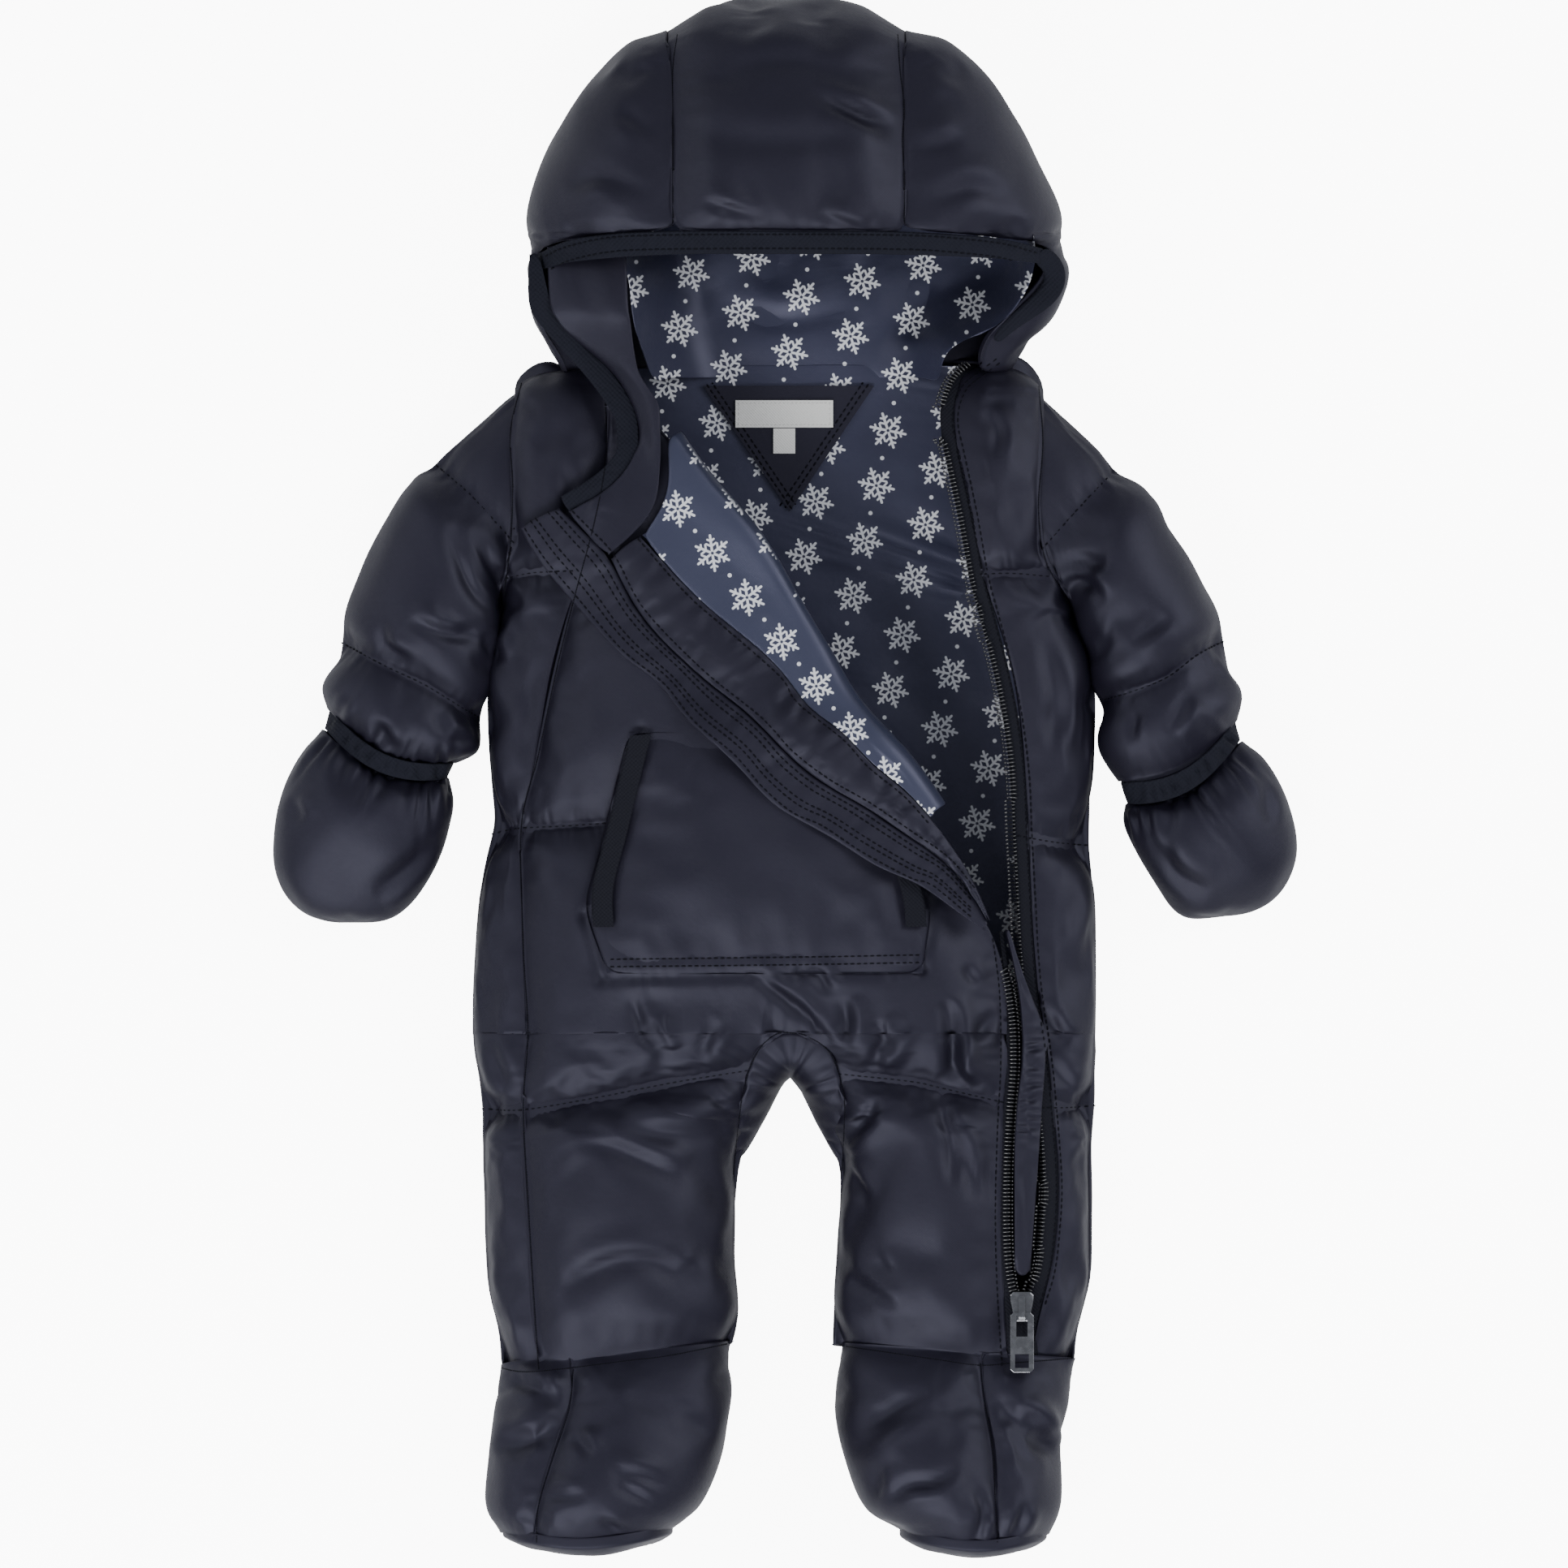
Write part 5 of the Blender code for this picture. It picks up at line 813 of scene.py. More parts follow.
# %% [markdown]
# ## Air and wadding
# Padded cloth is a little too large for the seams that hold it, so it swells and wrinkles between
# them. Blender's cloth does the same when its springs are longer than the mesh and air presses
# from within. The seams, the quilting, the inner faces and the underside are pinned, and all
# pieces are stepped together. How far a point may move is capped afterwards.

# %% Set up and run the simulation
PADDED = dict(               # each padded panel and the hollow behind it
    front_main="body", front_leg_right="leg_right", front_leg_left="leg_left", front_left="body",
    side_front_right="body", side_front_leg_right="leg_right", front_left_leg="leg_left",
    sleeve_right="sleeve_right", sleeve_left="sleeve_left", mitten_right="mitten_right",
    mitten_left="mitten_left", boot_right_outer="boot_right", boot_right_inner="boot_right",
    boot_left_outer="boot_left", boot_left_inner="boot_left", pocket=None, hood_centre="hood",
    hood_side_right="hood", hood_side_left="hood")
ROUNDS_BEFORE = 2            # subdivisions before the air goes in
CLOTH = dict(mass=0.3, uniform_pressure_force=4.0, shrink_min=-0.015, tension_stiffness=15,
             bending_stiffness=1.5, quality=4)
FRAMES = 20
SWELL_CAP = 4.5              # mm
LEVEL_GUIDE = (0.1, 0.35)    # weights of the points that lead the cut at the waist level
made_pieces = {}
loose = {}


def pin(piece, held):
    group = piece.vertex_groups.new(name="held")
    for index in np.nonzero(held > 0.01)[0]:
        group.add([int(index)], float(held[index]), "REPLACE")


def fill_with_air(piece):
    cloth_air = piece.modifiers.new("air", "CLOTH")
    settings = cloth_air.settings
    for key, value in CLOTH.items():
        setattr(settings, key, value)
    settings.use_pressure = True
    settings.vertex_group_mass = "held"
    settings.effector_weights.gravity = 0.0


def follow_guides(move, rest, length, level, free):
    """Let the free points at the waist level move as the nearest points above or below them."""
    low, high = LEVEL_GUIDE
    guides = np.nonzero((level > low) & (level < high) & (length[:, 0] > 0.01))[0]
    for index in np.nonzero((level >= high) & free)[0] if len(guides) else ():
        gaps = ((rest[guides] - rest[index])**2).sum(axis=1)
        move[index] = move[guides[np.argsort(gaps)[:4]]].mean(axis=0)


def simulate(pieces):
    """Step every piece's cloth together, then keep the swollen shapes, capped."""
    for step in range(1, FRAMES + 1):
        bpy.context.scene.frame_set(step)
    graph = bpy.context.evaluated_depsgraph_get()
    for piece in pieces:
        rest, _ = read_points(piece.data)
        swollen = piece.evaluated_get(graph).to_mesh()
        points, _ = read_points(swollen)
        piece.evaluated_get(graph).to_mesh_clear()
        move = points - rest
        length = np.maximum(np.linalg.norm(move, axis=1, keepdims=True), 1e-6)
        move *= SWELL_CAP * np.tanh(length / SWELL_CAP) / length
        level = group_weights(piece, "level")
        follow_guides(move, rest, length, level, loose[piece.name])
        move[:, 1] *= 1 - level
        points = rest + move
        points[:, 2] = np.maximum(points[:, 2], np.minimum(rest[:, 2], 0.0))
        piece.modifiers.clear()
        write_points(piece.data, points)
    bpy.context.scene.frame_set(1)


for node, hollow in PADDED.items():
    piece = rounded_copy(node, ROUNDS_BEFORE)
    points, out = read_points(piece.data)
    outside = outside_of(points, out, hollow)
    held = sink_quilting(points, out, outside)
    write_points(piece.data, points)
    held = np.maximum(held, np.clip(group_weights(piece, "rim") * 1.6 - 0.1, 0, 1))
    held = np.where(outside & (points[:, 2] > FLOOR_CONTACT), held, 1.0)
    loose[piece.name] = held < 0.5
    pin(piece, held)
    made_pieces[node] = piece
for piece in made_pieces.values():
    fill_with_air(piece)
simulate(made_pieces.values())
print(len(made_pieces), "padded pieces, simulated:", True)

# %% [markdown]
# ## Puckers
# Two kinds of small form are finer than the simulation. The first are puckers, the short ridges
# that stand square to a seam, because its thread is tighter than the cloth. They are a height over
# the plan, made of slow waves along the line, so that they run on from piece to piece.

# %% Puckers beside a line
TURN = 2 * math.pi


def puckers(plan, line, depth, reach, pitch, seed):
    """Uneven ridges square to a line, highest beside it."""
    along, away, side = nearest_on(line, plan)
    seed = seed + 1.7 * side
    wander = 1.5 * np.sin(TURN * along / (3.3 * pitch) + seed)
    wander += 1.0 * np.sin(TURN * along / (7.7 * pitch) + 2.3 * seed)
    lean = 2.2 * away / reach * np.sin(TURN * along / (4.9 * pitch) + 3.1 * seed)
    ridge = np.abs(np.sin((TURN * along / pitch + wander + lean) / 2))
    length = reach * (0.7 + 0.3 * np.sin(TURN * along / (2.7 * pitch) + 4.7 * seed))
    return depth * (1.6 * ridge - 1.0) * np.exp(-(away / length)**1.6) * (1 - np.exp(-away / 1.2))


PUCKERED = [                 # line, depth, reach and pitch in mm, and pieces if not on all
    (SIDE_SEAM, 0.5, 7, 6), (ARMHOLE_RIGHT, 0.45, 8, 8), (ARMHOLE_LEFT, 0.45, 8, 8),
    (GUSSET, 0.8, 11, 7), (ANKLE_RIGHT, 0.6, 7, 6), (ANKLE_LEFT, 0.6, 7, 6),
    (BOOT_RIGHT, 0.5, 7, 7), (BOOT_LEFT, 0.5, 7, 7), (HOOD_RIGHT, 0.5, 8, 6),
    (HOOD_LEFT, 0.5, 8, 6), (BRIM_UPPER, 0.9, 10, 9),
    (GUARD_SEAM, 2.2, 11, 9, "zip_guard", "flap_facing"), (GUARD_EDGE, 1.3, 8, 10, "zip_guard"),
    (LINING_SEAM, 2.4, 10, 10, "flap_facing"), (ZIP_LEFT, 0.5, 13, 9), (FRONT_ZIP_EDGE, 0.6, 9, 8),
    (GUSSET, 1.5, 14, 9, "crotch_gusset"),
    ([(108, -70), (112, -120), (113, -178), (108, -226)], 2.0, 12, 5, "zip_guard_lower"),
    (CUFF_RIGHT, 2.6, 18, 7), (CUFF_LEFT, 2.6, 18, 7), (WRIST_RIGHT, 0.9, 11, 8),
    (WRIST_LEFT, 0.9, 11, 8), ([(-82, -88), (8, -86), (62, -84)], 0.7, 7, 6)]
PUCKERED += [(points, 0.6, 7, 4.5) for points in QUILTS.values()]
print(len(PUCKERED), "puckered lines")

# %% [markdown]
# ## Creases
# The second kind are creases, the few larger folds that handling leaves. Each is a trough with a
# rounded ridge beside it, fading at both ends. Nothing but looking says where a fold lies, so
# their places are listed one by one. The linings lie loose, and have long soft folds of their own.

# %% Creases and folds
CREASE_GAIN = 2.1            # all the creases' depths are multiplied by this
CREASE_WIDTH = 1.05          # and their widths by this
CREASES = [                  # depth and width in mm, then its places in plan
    (1.2, 3.5, (52, 302), (35, 309), (18, 315)), (1.0, 3, (13, 319), (35, 311), (54, 300)),
    (0.9, 6, (-49, 302), (-2, 297), (47, 303)), (1.0, 2.5, (-39, 270), (-10, 261)),
    (0.9, 2.5, (16, 264), (37, 255)), (1.0, 3.5, (59, 293), (83, 298)),
    (1.0, 4, (-60, 272), (-84, 281), (-100, 276)), (0.8, 3.5, (-58, 300), (-76, 312)),
    (1.0, 4, (62, 268), (88, 276), (104, 270)), (0.8, 5, (-30, 330), (5, 334), (36, 328)),
    (1.6, 5, (-77, -160), (-55, -162), (-31, -163)),
    (1.5, 4, (-97, -166), (-80, -168), (-46, -183)),
    (1.5, 4, (-102, -234), (-80, -222), (-61, -221), (-46, -229)),
    (0.8, 2, (-49, -225), (-40, -224)), (1.0, 2.5, (-36, -141), (-22, -153)),
    (1.1, 2.5, (-71, -98), (-64, -115), (-55, -127)), (1.1, 2, (-62, -108), (-53, -125)),
    (1.0, 3, (-30, -109), (-39, -125)), (1.2, 4, (-137, -119), (-127, -144)),
    (1.1, 3, (-129, -273), (-103, -284)), (1.8, 4, (-132, -308), (-118, -303), (-102, -296)),
    (0.9, 2.5, (-97, -300), (-88, -311)), (1.2, 3, (-80, -317), (-54, -323)),
    (1.2, 3, (-78, -323), (-61, -332)), (1.0, 2.5, (-111, -329), (-91, -329)),
    (1.0, 2.5, (-85, -340), (-73, -347)),
    (1.3, 2.5, (-16, -87), (4, -102), (18, -116), (23, -124)), (1.2, 2.5, (13, -85), (22, -97)),
    (1.4, 3, (27, -99), (29, -109), (26, -121)), (1.5, 3, (43, -109), (46, -118), (41, -132)),
    (1.2, 3, (55, -109), (47, -125)), (1.8, 3.5, (74, -99), (78, -113), (76, -140)),
    (1.7, 3, (80, -115), (80, -132), (88, -142)), (1.0, 2.5, (84, -84), (90, -93)),
    (1.2, 3, (100, -105), (87, -118)), (1.4, 3, (43, -144), (38, -155), (26, -167)),
    (1.2, 2.5, (28, -177), (40, -193)), (1.5, 3, (72, -142), (78, -167), (78, -187)),
    (1.2, 3, (80, -155), (89, -192)), (1.0, 3, (93, -175), (99, -193)),
    (1.1, 2.5, (29, -228), (40, -234), (52, -242)), (0.7, 2, (43, -221), (50, -224)),
    (1.3, 3, (117, -103), (132, -120)), (1.2, 3, (121, -127), (135, -142)),
    (1.6, 4, (68, -280), (50, -288), (32, -300)), (1.2, 4, (76, -288), (55, -293), (31, -309)),
    (1.5, 3, (80, -315), (70, -322), (57, -324), (47, -333)), (1.2, 3, (44, -314), (42, -333)),
    (1.4, 4, (97, -284), (112, -299), (122, -312)),
    (1.8, 3.5, (109, -288), (119, -299), (125, -311)),
    (1.3, 2.5, (89, -326), (93, -337), (88, -352)),
    (1.1, 2.5, (112, -332), (109, -343), (103, -351)),
    (1.9, 4, (-155, 119), (-141, 88), (-131, 80)), (1.6, 3, (-145, 116), (-138, 106), (-129, 85)),
    (1.4, 3, (-173, 76), (-155, 69), (-141, 70)), (1.2, 3, (-185, 75), (-184, 63), (-171, 55)),
    (1.4, 3, (-138, 70), (-131, 55)), (1.2, 3, (-190, 30), (-180, 15)),
    (1.0, 2.5, (-160, 34), (-157, 23)), (1.0, 2.5, (-155, 21), (-141, 19)),
    (1.2, 4, (-160, -25), (-174, -40), (-189, -51)), (1.0, 3, (-228, -7), (-223, -18)),
    (1.6, 3, (128, 81), (133, 92), (141, 92), (148, 84)),
    (1.3, 3.5, (125, 98), (137, 103), (150, 100)), (1.0, 3, (178, 77), (161, 66)),
    (1.2, 3, (188, 42), (178, 24)), (1.0, 2.5, (163, 34), (160, 20)),
    (1.1, 4, (170, -25), (182, -42), (197, -50)), (1.0, 3, (222, 0), (226, -18)),
    (1.0, 3, (93, 172), (99, 163), (97, 150)), (1.2, 4, (-104, 150), (-98, 132), (-101, 112)),
    (1.0, 4, (-112, 60), (-118, 30), (-116, 5)), (0.9, 4, (120, 70), (126, 40), (124, 10))]
LINING_FOLDS = [             # long soft folds of the loose linings, in the same columns
    (1.3, 6, (62, 150), (55, 100), (66, 50), (84, 5)), (1.2, 5, (36, 120), (44, 75), (60, 35)),
    (1.0, 5, (20, 130), (24, 100), (40, 70)), (1.2, 5, (84, 120), (86, 80), (94, 40)),
    (0.9, 5, (-58, 140), (-34, 112), (-2, 74), (24, 40)),
    (0.8, 5, (-40, 132), (-16, 102), (14, 66), (38, 32)),
    (1.4, 5, (-46, 300), (-40, 260), (-38, 215)), (1.0, 7, (-14, 290), (-8, 250), (-12, 205)),
    (1.0, 6, (22, 285), (28, 245), (30, 205)), (1.4, 5, (58, 270), (64, 240), (60, 205)),
    (0.9, 5, (-30, 222), (0, 214), (34, 220))]


def crease(plan, line, depth, width):
    """A trough along a line with a rounded ridge on its left side, fading at both ends."""
    along, away, side = nearest_on(line, plan)
    signed = away * side
    total = np.linalg.norm(np.diff(line, axis=0), axis=1).sum()
    fade = np.sin(math.pi * np.clip(along / total, 0, 1))**0.8
    trough = np.exp(-(signed / width)**2)
    ridge = np.exp(-((signed - 1.9 * width) / (1.3 * width))**2)
    return depth * fade * (0.7 * ridge - trough)


print(len(CREASES), "creases and", len(LINING_FOLDS), "folds")

# %% [markdown]
# ## Slow waves everywhere
# No cloth is without slow waves, also on the sides where no fold was placed. Four long sine waves
# cross each other at different turns and are bent sideways, so that no pattern shows.

# %% Waves over the whole suit
DRAPE = [                    # length and size in mm, turn in degrees
    (53, 0.32, 20), (41, 0.22, 75), (33, 0.16, 130), (24, 0.08, 50)]


def drape(points):
    """Slow uneven waves over every side of the suit, so hidden sides are creased as well."""
    height = np.zeros(len(points))
    for number, (length, size, turn) in enumerate(DRAPE):
        turn = math.radians(turn)
        run = points[:, 0] * math.cos(turn) + points[:, 1] * math.sin(turn) + 0.8 * points[:, 2]
        cross = points[:, 1] * math.cos(turn) - points[:, 0] * math.sin(turn) - 0.6 * points[:, 2]
        bend = 0.9 * np.sin(TURN * cross / (1.7 * length) + number)
        height += size * np.sin(TURN * run / length + bend + 2.1 * number)
    return height


# %% [markdown]
# ## All the relief together
# Puckers, creases, the pocket's trough and the stitches' own furrows are added up and moved along
# the cloth's normal. The relief fades towards the rims, the floor and the inside, and the rims are
# pulled in a little, as a tight seam does.

# %% Add the relief to a piece
FURROW = (1.2, 1.4)          # depth and width in mm of the stitches' furrow in a quilting line
SEAM_SINK = 1.7              # mm that a seam's rims are pulled in
POCKET_OUTLINE = [(-66, 25), (-72, 0), (-92, -61), (-84, -90), (8, -88), (64, -86), (72, -52),
                  (60, -48)]
POCKET_TROUGH = (1.6 / 1.3, 2.6)     # depth and width in mm, in the panel beside the pocket
LINE_REACH = 25              # mm round a piece within which a line is felt


def crosses(line, plan):
    """True if a line comes within reach of a piece in plan."""
    low, high = plan.min(axis=0) - LINE_REACH, plan.max(axis=0) + LINE_REACH
    return np.all((line > low) & (line < high), axis=1).any()


def furrow(plan, line, depth, width):
    _, away, _ = nearest_on(line, plan)
    return depth * np.exp(-(away / width)**2)


def relief(points, out, node, creases):
    """Height to add along the cloth's normal from puckers, creases and furrows, in millimetres."""
    plan = plan_of(points)
    height = np.zeros(len(points))
    for number, (places, depth, reach, pitch, *only_on) in enumerate(PUCKERED):
        line = smooth_line(places)
        if (not only_on or node in only_on) and crosses(line, plan):
            height += puckers(plan, line, depth, reach, pitch, number)
    for depth, width, *places in creases:
        line = smooth_line(places, 3.0)
        if crosses(line, plan):
            height += crease(plan, line, depth * CREASE_GAIN, width * CREASE_WIDTH)
    if node == "front_main":
        for side in zip(POCKET_OUTLINE[:-1], POCKET_OUTLINE[1:]):
            height -= furrow(plan, np.array(side, float), *POCKET_TROUGH)
    for line in QUILT_LINES.values():
        if crosses(line, plan):
            height -= furrow(plan, line, *FURROW)
    return height * np.clip(out[:, 2] * 1.6, 0, 1)


def add_relief(piece, node, hollow=None, creases=CREASES, share=1.0, sink=0.0):
    """Add the fields of relief to a piece's outside, and pull its rims in."""
    points, out = read_points(piece.data)
    rim = np.clip(group_weights(piece, "rim"), 0, 1)
    outside = outside_of(points, out, hollow) if hollow else out[:, 2] > 0
    level = group_weights(piece, "level") > 0.9
    out[level, 1] = 0.0
    size = np.linalg.norm(out, axis=1, keepdims=True)
    out = np.where(size > 0.3, out / np.maximum(size, 0.3), 0.0)
    seen = outside * (1 - rim)**0.5 * np.clip(points[:, 2] / FLOOR_CONTACT, 0, 1)
    height = (relief(points, out, node, creases) + drape(points)) * seen * share
    points += out * height[:, None]
    fall = sink * rim**2 * np.clip(out[:, 2] * 1.5, 0, 1) * outside
    points -= from_hollow(points, hollow) * fall[:, None]
    write_points(piece.data, points)


# %% [markdown]
# ## One cloth over two solids
# The torso's solids end at a level line and the legs' solids go on from it, but the real panels
# run on without a seam. After the simulation the two sides of that line no longer meet exactly.
# Both are moved to the middle between them, most at the line and less further away, and share
# their shading there.

# %% Join the torso's pieces to the legs'
LEVEL_AXIS = (2.0, 26.0)     # x and z of the body's middle at the line, in mm
LEVEL_LAP = 0.4              # mm that each side goes past the line
XZ = [0, 2]                  # the columns of a cut across the body
TORSO_PIECES = ("front_main", "side_front_right", "front_left", "back_body")
LEG_PIECES = ("front_leg_right", "side_front_leg_right", "front_leg_left", "front_left_leg",
              "back_leg_right", "back_leg_left")
SIDES = ((TORSO_PIECES, LEG_PIECES), (LEG_PIECES, TORSO_PIECES))


def level_ring(node):
    """Points of a piece's outer edge at the line: their indices, places, and the edges between."""
    mesh = made_pieces[node].data
    points, out = read_points(mesh)
    away = points[:, XZ] + (MIDDLE[0] - LEVEL_AXIS[0], -LEVEL_AXIS[1])
    away /= np.linalg.norm(away, axis=1, keepdims=True)
    outer = (away * out[:, XZ]).sum(axis=1) > 0.3
    ring = (group_weights(made_pieces[node], "level") > 0.97) & outer
    pairs = [edge.vertices[:] for edge in mesh.edges
             if ring[edge.vertices[0]] and ring[edge.vertices[1]]]
    return np.nonzero(ring)[0], points, np.array(pairs)


def gap_to(rings, places):
    """From each place (x, z), the shortest way to the edges of the given rings."""
    best = np.full((len(places), 2), 1e6)
    for _, points, pairs in rings:
        for start, end in zip(points[pairs[:, 0]][:, XZ], points[pairs[:, 1]][:, XZ]):
            run = end - start
            t = np.clip((places - start) @ run / max(run @ run, 1e-9), 0, 1)
            way = start + t[:, None] * run - places
            closer = (way**2).sum(axis=1) < (best**2).sum(axis=1)
            best[closer] = way[closer]
    return best


def join_level():
    rings = {node: level_ring(node) for node in TORSO_PIECES + LEG_PIECES}
    worst = 0.0
    for nodes, others in SIDES:
        lap = LEVEL_LAP if nodes is LEG_PIECES else -LEVEL_LAP
        for node in nodes:
            ring, points, _ = rings[node]
            edge = points[ring][:, XZ]
            ways = gap_to([rings[other] for other in others], edge)
            worst = max(worst, float(np.linalg.norm(ways, axis=1).max()))
            moved = points.copy()
            weight = np.clip(group_weights(made_pieces[node], "level"), 0, 1)
            for index in np.nonzero(weight > 0.01)[0]:
                near = np.argmin(((edge - points[index, XZ])**2).sum(axis=1))
                moved[index, XZ] += 0.5 * ways[near] * weight[index]
            moved[:, 1] += weight**8 * (WAIST_LEVEL - MIDDLE[1] + lap - moved[:, 1])
            moved[:, 2] = np.maximum(moved[:, 2], np.minimum(points[:, 2], 0.0))
            write_points(made_pieces[node].data, moved)
    print("the two sides of the line were up to", round(worst, 1), "mm apart")


# %% [markdown]
# ## One shading over the join
# Two meshes that meet exactly still show a line if their faces are lit differently there. Custom
# normals cure that: the corners along the line take the sum of both sides' directions, so that the
# light runs over the join as over one cloth.

# %% Share the shading at the level line


def corner_facts(node):
    """A piece's corner directions, which of them lie on the line, and the corners' places."""
    mesh = made_pieces[node].data
    ring, points, _ = level_ring(node)
    turns = np.empty(len(mesh.loops) * 3)
    mesh.corner_normals.foreach_get("vector", turns)
    turns = turns.reshape(-1, 3)
    corners = np.empty(len(mesh.loops), int)
    mesh.loops.foreach_get("vertex_index", corners)
    on_ring = np.isin(corners, ring) & (np.abs(turns[:, 1]) < 0.75)
    return turns, np.nonzero(on_ring)[0], points[corners]


def soften_level():
    """Give both sides of the line the same shading, by sharing the directions of their faces."""
    found = {node: corner_facts(node) for node in TORSO_PIECES + LEG_PIECES}
    for nodes, others in SIDES:
        facts = [found[other] for other in others]
        places = np.concatenate([points[corners] for _, corners, points in facts])
        shared = np.concatenate([turns[corners] for turns, corners, _ in facts])
        for node in nodes:
            turns, corners, points = found[node]
            fresh = turns.copy()
            for corner in corners:
                near = np.argmin(((places - points[corner])**2).sum(axis=1))
                fresh[corner] = turns[corner] + shared[near]
            fresh /= np.maximum(np.linalg.norm(fresh, axis=1, keepdims=True), 1e-6)
            made_pieces[node].data.normals_split_custom_set(fresh.tolist())


# %% [markdown]
# ## Finishing the padded pieces
# After the simulation each skin is subdivided once more, gets its relief and the satin, and is
# tied to the imported suit: it rides on the suit's body and stands for its solid, which is hidden.
# The front panel carries the finest creases, so it is subdivided twice. The pocket is one flat
# layer.

# %% Finish the padded pieces
SHARP = math.radians(60)     # edges that turn more than this keep a hard shade
FRONT_ROUNDS, OTHER_ROUNDS = 2, 1


def finish_piece(piece, node, finish, body="suit"):
    piece.data.materials.append(finish)
    piece.data.shade_smooth()
    piece.data.set_sharp_from_angle(angle=SHARP)
    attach(piece, body)
    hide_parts(node)


for node, hollow in PADDED.items():
    piece = made_pieces[node]
    subdivide(piece, FRONT_ROUNDS if node == "front_main" else OTHER_ROUNDS)
    add_relief(piece, node, hollow, sink=SEAM_SINK)
    finish_piece(piece, node, SHELL)
print("largest padded piece:",
      max(2 * len(piece.data.polygons) for piece in made_pieces.values()), "triangles")

# %% [markdown]
# ## Pads that lie still
# The back rests on the floor, and the gusset, soles and facings are small. They need no air: their
# solids are subdivided, and the facings get the deep puckers of a strip sewn on both sides.

# %% Back, gusset, soles and facings
STILL = [                    # node, subdivisions, hollow, how firm its rims are, allowance
    ("back_body", 2, "body", 1.0, SEAM_ALLOWANCE),
    ("back_leg_right", 2, "leg_right", 1.0, SEAM_ALLOWANCE),
    ("back_leg_left", 2, "leg_left", 1.0, SEAM_ALLOWANCE),
    ("sole_right", 3, None, 0.45, SEAM_ALLOWANCE), ("sole_left", 3, None, 0.45, SEAM_ALLOWANCE),
    ("crotch_gusset", 3, None, 1.0, 1.8), ("flap_facing", 3, None, 0.6, SEAM_ALLOWANCE),
    ("hood_facing", 3, None, 0.6, SEAM_ALLOWANCE)]
for node, levels, hollow, firm, allowance in STILL:
    piece = rounded_copy(node, levels, firm, allowance)
    add_relief(piece, node, hollow, sink=SEAM_SINK if hollow else 0)
    finish_piece(piece, node, SHELL)
    made_pieces[node] = piece
join_level()
soften_level()
print(len(STILL), "pads that lie still")

# %% [markdown]
# ## Linings, bindings, tapes and labels
# These are thin cloth on what carries them. Each keeps its solid's form with firm edges.

# %% Thin pieces
STEEP_FADE = 0.2             # how much more level the cloth gets while the print comes in
THIN = [                     # node, subdivisions, finish, firmness, share of relief, allowance
    ("body_lining", 3, LINING, 0.7, 0.9, 0.1), ("hood_lining", 3, LINING, 0.7, 0.9, 0.1),
    ("flap_lining", 3, FLAP_LINING_PAINTED_LIGHTER, 0.5, 0.45, 0.1), ("zip_guard", 3, SHELL, 0.7, 0.9, 0.1),
    ("zip_guard_lower", 3, SHELL, 0.7, 0.9, 0.1), ("back_yoke", 4, SHELL, 1.0, 0.3, 0.1),
    ("brim_binding", 3, KNIT, 0.6, 0.9, 0.9), ("cheek_binding", 3, KNIT, 0.6, 0.9, 0.1),
    ("cuff_binding_right", 3, KNIT, 0.6, 0.9, 0.1), ("cuff_binding_left", 3, KNIT, 0.6, 0.9, 0.1),
    ("pocket_tape_right", 3, TAPE, 1.0, 0.9, 0.1), ("pocket_tape_left", 3, TAPE, 1.0, 0.9, 0.1),
    ("zip_tape_left", 2, TAPE, 0.9, 0.9, 0.1), ("zip_tape_right", 2, TAPE, 0.9, 0.9, 0.1),
    ("neck_label", 4, LABEL, 1.0, 0.3, 0.1), ("size_tag", 4, LABEL, 1.0, 0.3, 0.1)]


def mark_level_share(piece, steep):
    """Note how level the cloth lies at each point, so that the print leaves steep edges plain."""
    _, out = read_points(piece.data)
    share = np.clip((np.abs(out[:, 2]) - steep) / STEEP_FADE, 0, 1)
    marks = piece.data.attributes.new("level_share", "FLOAT", "POINT")
    marks.data.foreach_set("value", share.astype(np.float32))


for node, levels, finish, firm, share, allowance in THIN:
    piece = rounded_copy(node, levels, firm, allowance)
    lining = "lining" in node
    add_relief(piece, node, None, LINING_FOLDS if lining else [], share)
    if lining:
        mark_level_share(piece, 0.02 if node == "hood_lining" else 0.25)
    finish_piece(piece, node, finish)
    made_pieces[node] = piece
print(len(made_pieces), "cloth pieces,",
      sum(2 * len(piece.data.polygons) for piece in made_pieces.values()), "triangles")

# %% [markdown]
# ## The binding's return
# The knitted binding does not end with the brim: it turns round the hood's corner and runs back to
# the neck. The return is drawn as a middle line with a width, laid on the hood's side from above,
# and given the same rounded section as the rest.

# %% The binding round the hood's left corner
RETURN_LINE = [              # place in plan, half-width and height, in mm
    ((117.5, 245.2), 5.0, 60.5), ((123.5, 241.5), 5.6, 56.5), ((126.3, 235), 5.8, 54.5),
    ((124.3, 228.2), 5.6, 54.2), ((118.6, 222.4), 5.0, 54.6), ((110.5, 216.6), 4.2, 53.8),
    ((103.0, 210.6), 3.4, 50.5), ((97.6, 204.6), 2.8, 47.0)]
SECTION = [(-1.0, -0.6), (-0.85, 0.7), (-0.45, 1.35), (0.45, 1.35), (0.85, 0.7), (1.0, -0.6),
           (0.4, -1.0), (-0.4, -1.0)]      # across in half-widths, up in mm


